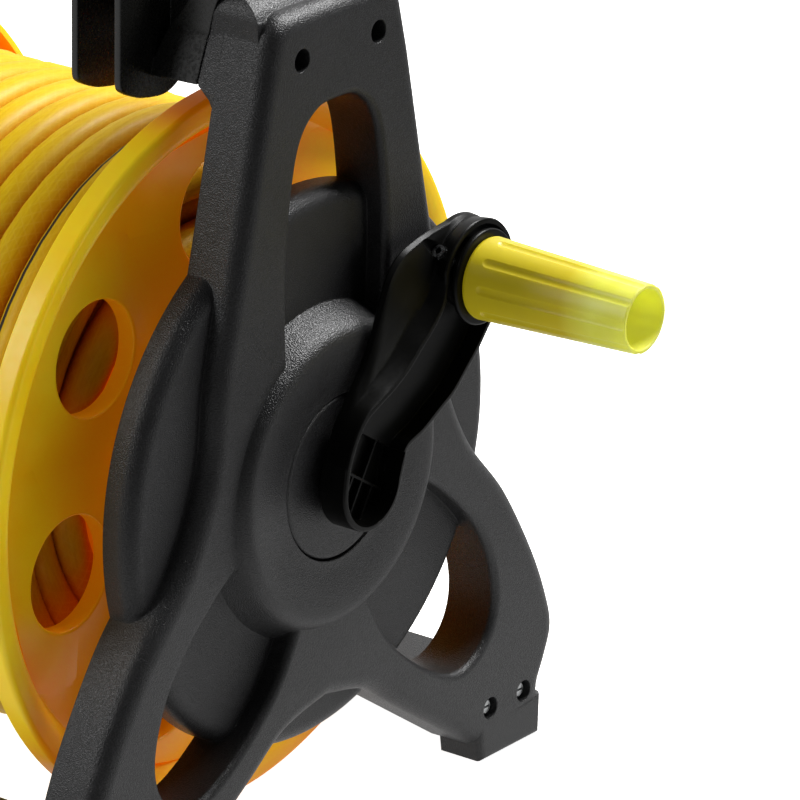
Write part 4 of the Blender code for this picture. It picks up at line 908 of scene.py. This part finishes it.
def frame_hollow():
    """The space inside a side frame, open at its back, round its ribs, sleeve and screw columns."""
    hollow = plate("hollow", inset(limb_outline(), FRAME_WALL), -50 * MM, -FRAME_WALL)
    for ring in openings():
        cut(hollow, plate("collar", inset(ring, -FRAME_WALL), -60 * MM, 10 * MM))
    for side in (1, -1):
        foot = inset(foot_outline(side), FRAME_WALL)
        add(hollow, plate("foot_hollow", foot, -51 * MM, -FRAME_WALL - FIT_GAP))
    add(hollow, turned("shield_hollow", shield_hollow_profile(), 96))
    for y, z, _ in screw_places():
        cut(hollow, rod("column", 7.5 * MM, -60 * MM, 0, (y, z), 32))
    cut(hollow, rod("sleeve", SLEEVE_OUTER, -60 * MM, 0, steps=48))
    cut(hollow, rod("recess_wall", HUB_DISC_RADIUS + 3.8 * MM, RECESS_FLOOR - FRAME_WALL, 5 * MM, steps=64))
    for i in range(6):
        rib = box("rib", (1 * MM - SHIELD_BACK, JOURNAL_RADIUS + 2 * MM, -1 * MM),
                  (5 * MM, SHIELD_RADIUS - 1 * MM, 1 * MM))
        cut(hollow, turn_about_x(rib, pi / 3 * (i + 0.5)))
    for side in (1, -1):
        for y, z, tilt, half in ((54, 118, 0, 18), (130, -66, -38, 20)):
            rib = box("cross_rib", (1 * MM - FRAME_DEPTH, -half * MM, -1 * MM), (0, half * MM, 1 * MM))
            turn = Matrix.Rotation(radians(side * tilt), 4, "X")
            rib.data.transform(Matrix.Translation((0, side * y * MM, z * MM)) @ turn)
            cut(hollow, rib)
    return hollow


def flared_cutter(ring):
    """A cutter for an opening whose front edge is rounded outwards."""
    wall = inset(ring, OPENING_ROUND * 0.4)
    rings = [at_x(-30 * MM, wall), at_x(-OPENING_ROUND, wall)]
    for i in range(1, 9):
        angle = pi / 2 * i / 8
        flare = inset(wall, -OPENING_ROUND * (1 - cos(angle)))
        rings.append(at_x(-OPENING_ROUND * (1 - sin(angle)), flare))
    rings.append([(5 * MM, y, z) for x, y, z in rings[-1]])
    return loft("opening", rings)


def side_frame(name):
    """One side frame in its own place: axis at the origin, limbs' face at X = 0."""
    moulding = rounded_plate(name, limb_outline(), -FRAME_DEPTH, 0, FRAME_ROUND, 0.4 * MM)
    for ring in openings():
        cut(moulding, flared_cutter(ring))
    add(moulding, head_block())
    for side in (1, -1):
        add(moulding, rounded_plate("foot", foot_outline(side), -22 * MM, -0.15 * MM, 3 * MM, steps=6))
    add(moulding, turned("shield", shield_profile(), 192))
    add(moulding, rod("sleeve", SLEEVE_OUTER, -SLEEVE_END, RECESS_FLOOR - 1 * MM, steps=48))
    cut(moulding, rod("recess", HUB_DISC_RADIUS + RUN_GAP, RECESS_FLOOR, 20 * MM, steps=128))
    cut(moulding, rod("bore", JOURNAL_RADIUS + RUN_GAP, -60 * MM, 20 * MM, steps=48))
    for y, z, seat in screw_places():
        cut(moulding, rod("screw_bore", 2.3 * MM, -60 * MM, 20 * MM, (y, z), 24))
        cut(moulding, rod("screw_recess", 4.9 * MM, -seat, 20 * MM, (y, z), 40))
    return cut(moulding, frame_hollow())


def side_frames(material):
    crank = side_frame("side_frame_crank_side")
    inlet = bpy.data.objects.new("side_frame_inlet_side", crank.data.copy())
    bpy.context.scene.collection.objects.link(inlet)
    finish_piece(crank, material, "frame", ["side_frame_crank"], CRANK_END)
    finish_piece(inlet, material, "frame", ["side_frame_inlet"], INLET_END)


# Polypropylene, spark eroded: a black grain of about 0.3 mm, which glitters where a lamp is mirrored. It is
# drawn at 0.55 mm to show.
GRAINED_BLACK, tree, shader = new_material("polypropylene_spark_eroded_black", IOR=1.49)
place = add_node(tree, "ShaderNodeTexCoord", output="Object")
cloud, grain = (
    add_node(tree, "ShaderNodeTexNoise", {"Vector": place, "Scale": 1 / (width * MM), "Detail": detail,
                                          "Roughness": roughness})
    for width, detail, roughness in ((30, 3, 0.6), (0.55, 1, 0.5)))
pits = tinted(tree, "#0C0C0D", "#121213", cloud, 0.3, 0.7)
peaks = tinted(tree, "#262627", "#2E2E2F", cloud, 0.3, 0.7)
rounded = add_node(tree, "ShaderNodeBevel", {"Radius": 0.9 * MM}, samples=4)
fill(shader, {
    "Base Color": tinted(tree, pits, peaks, grain, 0.35, 0.65),
    "Roughness": add_node(tree, "ShaderNodeMapRange", [grain, 0.3, 0.7, 0.46, 0.3]),
    "Normal": add_node(tree, "ShaderNodeBump", {"Height": grain, "Strength": 0.9, "Distance": 0.35 * MM,
                                                "Normal": rounded})})
side_frames(GRAINED_BLACK)
for end in ("front", "rear"):
    dress(f"tie_bar_{end}", GRAINED_BLACK)
for number in range(1, 13):
    dress(f"frame_screw_{number}", ZINC)


# Carry handle
# One glossy black polypropylene moulding: a grip bar, a pair of webbed end plates whose lobes hang over
# the drum, and a gusset at each end that is screwed to the head of a side frame.
HANDLE_TOP = 300 * MM
FIN_MIDDLES = (106.8 * MM, 84.8 * MM)
FIN_WALL = 3.4 * MM
GUSSET_HALF = 52 * MM
GUSSET_CORE_HALF = 37 * MM
GUSSET_WALL = 3 * MM


def fin(name, middle):
    """An end plate of the handle: a rounded foot over the drum's rim, narrowing up to the grip."""
    foot = smooth([(0, 172), (24, 171.5), (31, 164.8), (40, 161.4), (52, 162.6), (60, 165), (66.6, 168.4),
                   (68.3, 171.4), (68.5, 178)])
    side = smooth([(68.5, 212), (63, 234), (48, 258), (30, 276), (15, 288), (15, 296)])
    ring = mirrored(foot + side + [(0, HANDLE_TOP - 4 * MM)])
    half = FIN_WALL / 2
    edge = 0.7 * MM
    levels = ((-half, edge), (-half + 0.2 * MM, 0.25 * MM), (-half + edge, 0), (half - edge, 0),
              (half - 0.2 * MM, 0.25 * MM), (half, edge))
    return loft(name, [at_x(middle + x, inset(ring, draft)) for x, draft in levels])


def gusset():
    """The root that meets the head of a side frame, hollow below, in the side frame's place."""
    gap = (FACE_X - FIN_MIDDLES[0]) / MM
    front = smooth([(-34.3, 172.4), (-34.3, 176), (-32.9, 191), (-30.4, 202.2), (-26.9, 209.5),
                    (-22, 211)], 4)
    rear = smooth([(-22, 214), (-29, 217), (-37, 214.5), (-41.6, 207), (-45.5, 200.6), (-51.8, 192.6),
                   (-55.8, 183), (-59.6, 171.6)], 4)
    root = side_plate("gusset", front + rear, -GUSSET_HALF, GUSSET_HALF)
    flush = in_mm([(0, 232), (43.5, 232), (43.5, 193.3), (49.7, 170), (49.7, 160), (0, 160)])
    combine(root, plate("flush", mirrored(flush), -64 * MM, 0), "INTERSECT")
    core = in_mm([(-36, 174), (-36, 208), (-44, 222), (-gap, 228), (-gap, 173)])
    add(root, side_plate("core", core, -GUSSET_CORE_HALF, GUSSET_CORE_HALF))
    inner = in_mm([(-38, 160), (-38, 206), (-46, 217), (3.4 - gap, 222), (3.4 - gap, 160)])
    pocket = side_plate("pocket", inner, GUSSET_WALL - GUSSET_CORE_HALF, GUSSET_CORE_HALF - GUSSET_WALL)
    for y, z, _ in screw_places()[:2]:
        cut(pocket, rod("column", 7.5 * MM, -80 * MM, 0, (y, z), 32))
    cut(root, pocket)
    cheek = in_mm([(-38, 160), (-36.5, 190), (-34, 206), (-38, 207), (-43, 199), (-48.6, 191), (-52.6, 181),
                   (-55, 160)])
    for side in (1, -1):
        low, high = sorted(side * (GUSSET_CORE_HALF + y) for y in (1 * MM, GUSSET_WALL + 0.6 * MM))
        cut(root, side_plate("cheek", cheek, low, high))
    return root


def carry_handle(material):
    corner = 11 * MM
    half = 17 * MM
    low = HANDLE_TOP - 27 * MM
    ring = (arc((half - corner, HANDLE_TOP - corner), corner, 90, 0, 12)
            + arc((half - corner, low + corner), corner, 0, -90, 12))
    end = FIN_MIDDLES[0] + 4 * MM
    handle = plate("carry_handle_moulding", mirrored([(0, HANDLE_TOP)] + ring + [(0, low)]), -end, end)
    for side in (1, -1):
        for middle in FIN_MIDDLES:
            add(handle, fin("fin", side * middle))
        near, far = sorted((side * FIN_MIDDLES[1], side * FIN_MIDDLES[0]))
        add(handle, box("web", (near, -2 * MM, 173 * MM), (far, 2 * MM, 290 * MM)))
        for height in (187, 222, 254):
            add(handle, box("shelf", (near, -30 * MM, height * MM), (far, 30 * MM, (height + 2) * MM)))
        root = gusset()
        turn = Matrix.Rotation(0 if side > 0 else pi, 4, "Z")
        root.data.transform(turn @ Matrix.Translation((FACE_X, 0, 0)))
        add(handle, root)
    finish_piece(handle, material, "frame", ["carry_handle"], Matrix.Translation(AXIS_POINT),
                 edge=28)


# Polypropylene from a polished tool: a soft gloss with faint flow waves
SATIN_BLACK, tree, shader = new_material("polypropylene_polished_black", IOR=1.49)
add_skin(tree, shader, (20 * MM, 2, 0.5), ("#121211", "#191917"), (1.5 * MM, 3, 0.5), (0.2, 0.34),
         (3 * MM, 0.1, 0.2 * MM), 0.8 * MM)
carry_handle(SATIN_BLACK)


# Crank
# The hub disc is grained polypropylene; the swan-necked arm is a ribbed channel in glossy black ABS,
# and a hollow steel pin holds the grip's spindle in it.
ARM_FRONT = 20 * MM
ARM_BACK = 6.2 * MM
ARM_WALL = 2.3 * MM
ARM_FLOOR = 12 * MM
ARM_HUB_FLOOR = 8.8 * MM
ARM_HUB_RADIUS = 19.6 * MM
ARM_TIP_RADIUS = 24.2 * MM
CRANK_Y = 70 * MM
CRANK_Z = 71.5 * MM
TANG_HALF = 6.5 * MM
TANG_END = -19.2 * MM
PIN_X = 12.6 * MM
PIN_RADIUS = 2.8 * MM
DISC_BEVEL = 2.2 * MM


def crank_hub(material):
    """Disc, journal and square drive in one piece, with a socket for the crank's tang."""
    back = HUB_DISC_PROUD - DISC_THICKNESS
    corner = arc((HUB_DISC_PROUD - DISC_BEVEL, HUB_DISC_RADIUS - DISC_BEVEL), DISC_BEVEL, 90, 0, 8)
    profile = [(-SLEEVE_END, 0), (-SLEEVE_END, JOURNAL_RADIUS), (back, JOURNAL_RADIUS),
               (back, HUB_DISC_RADIUS)]
    hub = turned("crank_hub_disc", profile + corner + [(HUB_DISC_PROUD, 0)], 128)
    add(hub, box("drive", (-61.7 * MM, -10 * MM, -10 * MM), (-SLEEVE_END + 2 * MM, 10 * MM, 10 * MM)))
    half = TANG_HALF + FIT_GAP
    cut(hub, box("socket", (TANG_END - 1 * MM, -half, -half), (30 * MM, half, half)))
    cut(hub, rod("screw_bore", 2.8 * MM, -90 * MM, 0, steps=24))
    finish_piece(hub, material, "drum", ["crank_hub"], CRANK_END)


def arm_outline(left, tip_turn):
    """The crank's swan-necked outline: hub end, right side, grip end, then the left side given."""
    reach = atan2(CRANK_Z, CRANK_Y) * 180 / pi
    hub_end = arc((0, 0), ARM_HUB_RADIUS, 172, 325, 30)
    right = smooth([(18.5, -5), (21.5, 4), (23.5, 9.4), (34.2, 13.3), (44.3, 18.7), (54.5, 24.2),
                    (62.6, 31.4), (70.6, 38.7), (77.5, 46.5)])
    tip = arc((CRANK_Y, CRANK_Z), ARM_TIP_RADIUS, reach - 110, reach + tip_turn, 36)
    return hub_end + right + tip + smooth(left)


def arm_body():
    """A channel open to the front, whose left side spreads out into a broad shoulder at its back."""
    rim_left = [(47.2, 74), (44.6, 66), (38, 58.5), (30.4, 52.4), (22, 45.6), (13, 40.4), (3, 36), (-6, 31.5),
                (-13.4, 22.5), (-18, 12)]
    back_left = [(52, 93.6), (42, 91.8), (31, 88.4), (23, 81), (18, 70.5), (13.5, 60), (7, 48), (-1.5, 37.8),
                 (-10.5, 26.5), (-17, 13)]
    rim = arm_outline(rim_left, 118)
    back = arm_outline(back_left, 62)
    # Each level's X, its share of the back's outline and how far its edge is drawn in, in millimetres
    levels = ((ARM_BACK, 1, 1.4), (ARM_BACK + 0.5 * MM, 1, 0.5), (ARM_BACK + 1.4 * MM, 1, 0),
              (9.6 * MM, 0.96, 0), (10.6 * MM, 0.84, 0), (ARM_FLOOR, 0.5, 0), (12.9 * MM, 0.26, 0),
              (14 * MM, 0.17, 0), (17 * MM, 0.07, 0), (ARM_FRONT - 0.9 * MM, 0, 0),
              (ARM_FRONT - 0.25 * MM, 0, 0.3), (ARM_FRONT, 0, 0.9))
    rings = []
    for x, share, draft in levels:
        ring = [(y + (b - y) * share, z + (c - z) * share) for (y, z), (b, c) in zip(rim, back)]
        rings.append(at_x(x, inset(ring, draft * MM)))
    arm = loft("crank_arm_channel", rings)
    return cut(arm, plate("pocket", inset(rim, ARM_WALL), ARM_FLOOR, 40 * MM))


def hub_pocket():
    """The deeper pocket at the hub end, round three slanting ribs and a cross rib."""
    deep = (arc((0, 0), ARM_HUB_RADIUS - ARM_WALL, 180, 345, 24)
            + in_mm([(17.5, 0), (19.3, 4.5), (21, 8.4), (-7.5, 26.4), (-12, 19), (-15.5, 12)]))
    pocket = plate("hub_pocket", deep, ARM_HUB_FLOOR, 40 * MM)
    # Each rib's front, and its low and high sides along Y and Z
    ribs = [(16.5, (y - 0.6, y + 0.6), (-20, high)) for y, high in ((-4.5, 1.2), (2.5, 25), (10.5, 1.2))]
    for front, (left, right), (low, high) in ribs + [(17.5, (-30, 30), (0.6, 1.8))]:
        rib = box("rib", (0, left * MM, low * MM), (front * MM, right * MM, high * MM))
        cut(pocket, turn_about_x(rib, radians(-32)))
    return pocket


def pin_rod(radius):
    """A rod square to the crank arm, just inside the grip's axis."""
    angle = atan2(CRANK_Z, CRANK_Y)
    reach = hypot(CRANK_Y, CRANK_Z) - 3 * MM
    pin = rod("pin_hole", radius, -40 * MM, 40 * MM, steps=32)
    across = Matrix.Rotation(angle, 4, "X") @ Matrix.Rotation(pi / 2, 4, "Y")
    pin.data.transform(Matrix.Translation((PIN_X, reach * cos(angle), reach * sin(angle))) @ across)
    return pin


def crank_arm(material):
    arm = cut(arm_body(), hub_pocket())
    cut(arm, rod("spindle_seat", 14.3 * MM, ARM_BACK + 2.2 * MM, 40 * MM, (CRANK_Y, CRANK_Z), 96))
    add(arm, rod("spacer", 15 * MM, HUB_DISC_PROUD + FIT_GAP, ARM_BACK + 1 * MM, steps=64))
    add(arm, box("tang", (TANG_END, -TANG_HALF, -TANG_HALF), (ARM_BACK + 1 * MM, TANG_HALF, TANG_HALF)))
    cut(arm, rod("pilot", 2.8 * MM, TANG_END - 5 * MM, -2 * MM, steps=24))
    cut(arm, pin_rod(PIN_RADIUS + FIT_GAP))
    finish_piece(arm, material, "drum", ["crank_arm"], CRANK_END, edge=24)


GRIP_START = 23.4 * MM
SPINDLE_RADIUS = 9 * MM
SPINDLE_LENGTH = 50 * MM
GRIP_PLACE = CRANK_END @ Matrix.Translation((GRIP_START, CRANK_Y, CRANK_Z))


def grip_spindle(material):
    """Root block in the arm, flange under the grip and the shaft that the grip turns on."""
    root = ARM_BACK + 2.2 * MM + FIT_GAP - GRIP_START
    front = -FIT_GAP
    back = front - 2.6 * MM
    flange = (arc((back + 0.8 * MM, 19.6 * MM), 0.8 * MM, 180, 90, 4)
              + arc((front - 1 * MM, 19.4 * MM), 1 * MM, 90, 0, 5))
    profile = ([(root, 0), (root, 14 * MM), (back, 14 * MM)] + flange
               + [(front, SPINDLE_RADIUS), (SPINDLE_LENGTH, SPINDLE_RADIUS), (SPINDLE_LENGTH, 0)])
    spindle = turned("grip_spindle_shaft", profile, 96)
    cut(spindle, rod("pilot", 2.3 * MM, SPINDLE_LENGTH - 20 * MM, SPINDLE_LENGTH + 5 * MM, steps=24))
    hole = pin_rod(PIN_RADIUS + FIT_GAP)
    hole.data.transform(Matrix.Translation((-GRIP_START, -CRANK_Y, -CRANK_Z)))
    cut(spindle, hole)
    finish_piece(spindle, material, "drum", ["grip_spindle"], GRIP_PLACE)


# ABS from a polished tool: a soft, deep black gloss with faint waves
GLOSS_BLACK, tree, shader = new_material("abs_polished_black", Specular_IOR_Level=0.15)
add_skin(tree, shader, (12 * MM, 2, 0.5), ("#070706", "#0B0B0A"), (1 * MM, 3, 0.5), (0.3, 0.38),
         (2.5 * MM, 0.08, 0.2 * MM), 0.6 * MM)
crank_hub(GRAINED_BLACK)
crank_arm(GLOSS_BLACK)
grip_spindle(GLOSS_BLACK)
for part in ("drum_elbow", "inlet_nut"):
    dress(part, GLOSS_BLACK)
for part in ("grip_pin", "grip_washer", "grip_screw", "drive_screw", "drive_washer"):
    dress(part, ZINC)


# Grip
# A turning sleeve in translucent lime polypropylene, thin walled and open at its end, with nine
# round-ended flutes.
GRIP_LENGTH = 79.5 * MM
GRIP_BASE_RADIUS = 17.6 * MM
GRIP_END_RADIUS = 14.7 * MM
FLUTES = 9
FLUTE_RADIUS = 4.2 * MM
FLUTE_DEPTH = 0.6 * MM
FLUTE_START = 5.5 * MM
FIRST_FLUTE = radians(7)


def grip_sleeve(material):
    """A tapered tube with a bearing ring at each end of the spindle, fluted outside."""
    fall = (GRIP_BASE_RADIUS - GRIP_END_RADIUS) / GRIP_LENGTH
    bore = SPINDLE_RADIUS + RUN_GAP
    ring = SPINDLE_LENGTH - 4 * MM
    ring_end = SPINDLE_LENGTH - FIT_GAP

    def inner(x):
        return GRIP_BASE_RADIUS - 2 * MM - fall * x

    profile = [(0, bore), (3 * MM, bore), (3 * MM, inner(3 * MM)), (ring, inner(ring)), (ring, bore),
               (ring_end, bore), (ring_end, inner(ring_end)), (GRIP_LENGTH - 0.4 * MM, inner(GRIP_LENGTH)),
               (GRIP_LENGTH, inner(GRIP_LENGTH) + 0.4 * MM), (GRIP_LENGTH, GRIP_END_RADIUS - 0.5 * MM),
               (GRIP_LENGTH - 0.5 * MM, GRIP_END_RADIUS), (1.6 * MM, GRIP_BASE_RADIUS), (0.4 * MM, 17.1 * MM),
               (0, 16.4 * MM)]
    sleeve = turned("grip_tube", profile, 96)
    for i in range(FLUTES):
        turns = [pi / 2 * j / 10 for j in range(11)]
        nose = [(FLUTE_RADIUS * (1 - cos(a)), FLUTE_RADIUS * sin(a)) for a in turns]
        flute = turned("flute", nose + [(GRIP_LENGTH, FLUTE_RADIUS), (GRIP_LENGTH, 0)], 48)
        radius = GRIP_BASE_RADIUS - FLUTE_START * fall
        place = Matrix.Translation((FLUTE_START, 0, radius + FLUTE_RADIUS - FLUTE_DEPTH))
        flute.data.transform(place @ Matrix.Rotation(atan2(fall, 1), 4, "Y"))
        cut(sleeve, turn_about_x(flute, FIRST_FLUTE + 2 * pi * i / FLUTES))
    finish_piece(sleeve, material, "grip", ["grip_sleeve"], GRIP_PLACE, edge=24)


# Polypropylene, moulded translucent: a pale lime with a painted glow in its own colour for the light through
# its wall, darker where the spindle stands inside it
LIME, tree, shader = new_material(
    "polypropylene_translucent_lime", IOR=1.49, Coat_Weight=0.5, Coat_Roughness=0.35,
    Subsurface_Weight=0.6, Subsurface_Radius=(0.9, 1.0, 0.2), Subsurface_Scale=0.006, Emission_Strength=0.16)
open_end = add_skin(tree, shader, (18 * MM, 2, 0.5), ("#E4E44A", "#ECEE6C"), (2 * MM, 3, 0.5), (0.38, 0.5),
                    edge=0.4 * MM)
place = add_node(tree, "ShaderNodeTexCoord", output="Object")
along = add_node(tree, "ShaderNodeSeparateXYZ", [place], "X")
spindle_end = GRIP_PLACE.translation.x + SPINDLE_LENGTH
skin = tinted(tree, "#D2BE16", open_end, along, spindle_end - 3 * MM, spindle_end + 13 * MM)
fill(shader, {"Base Color": skin, "Emission Color": skin})
grip_sleeve(LIME)


# Water inlet
# An elbow in yellow acetal that swivels in the drum's hollow journal, sealed by a rubber ring.
# Nitrile rubber, moulded: a dull black skin with a trace of bloom
RUBBER, tree, shader = new_material("nitrile_rubber_moulded", IOR=1.52)
add_skin(tree, shader, (2 * MM, 2, 0.5), ("#141414", "#1E1E1E"), (0.5 * MM, 2, 0.5), (0.6, 0.8))
dress("inlet_elbow", FITTING_YELLOW)
dress("inlet_o_ring", RUBBER)
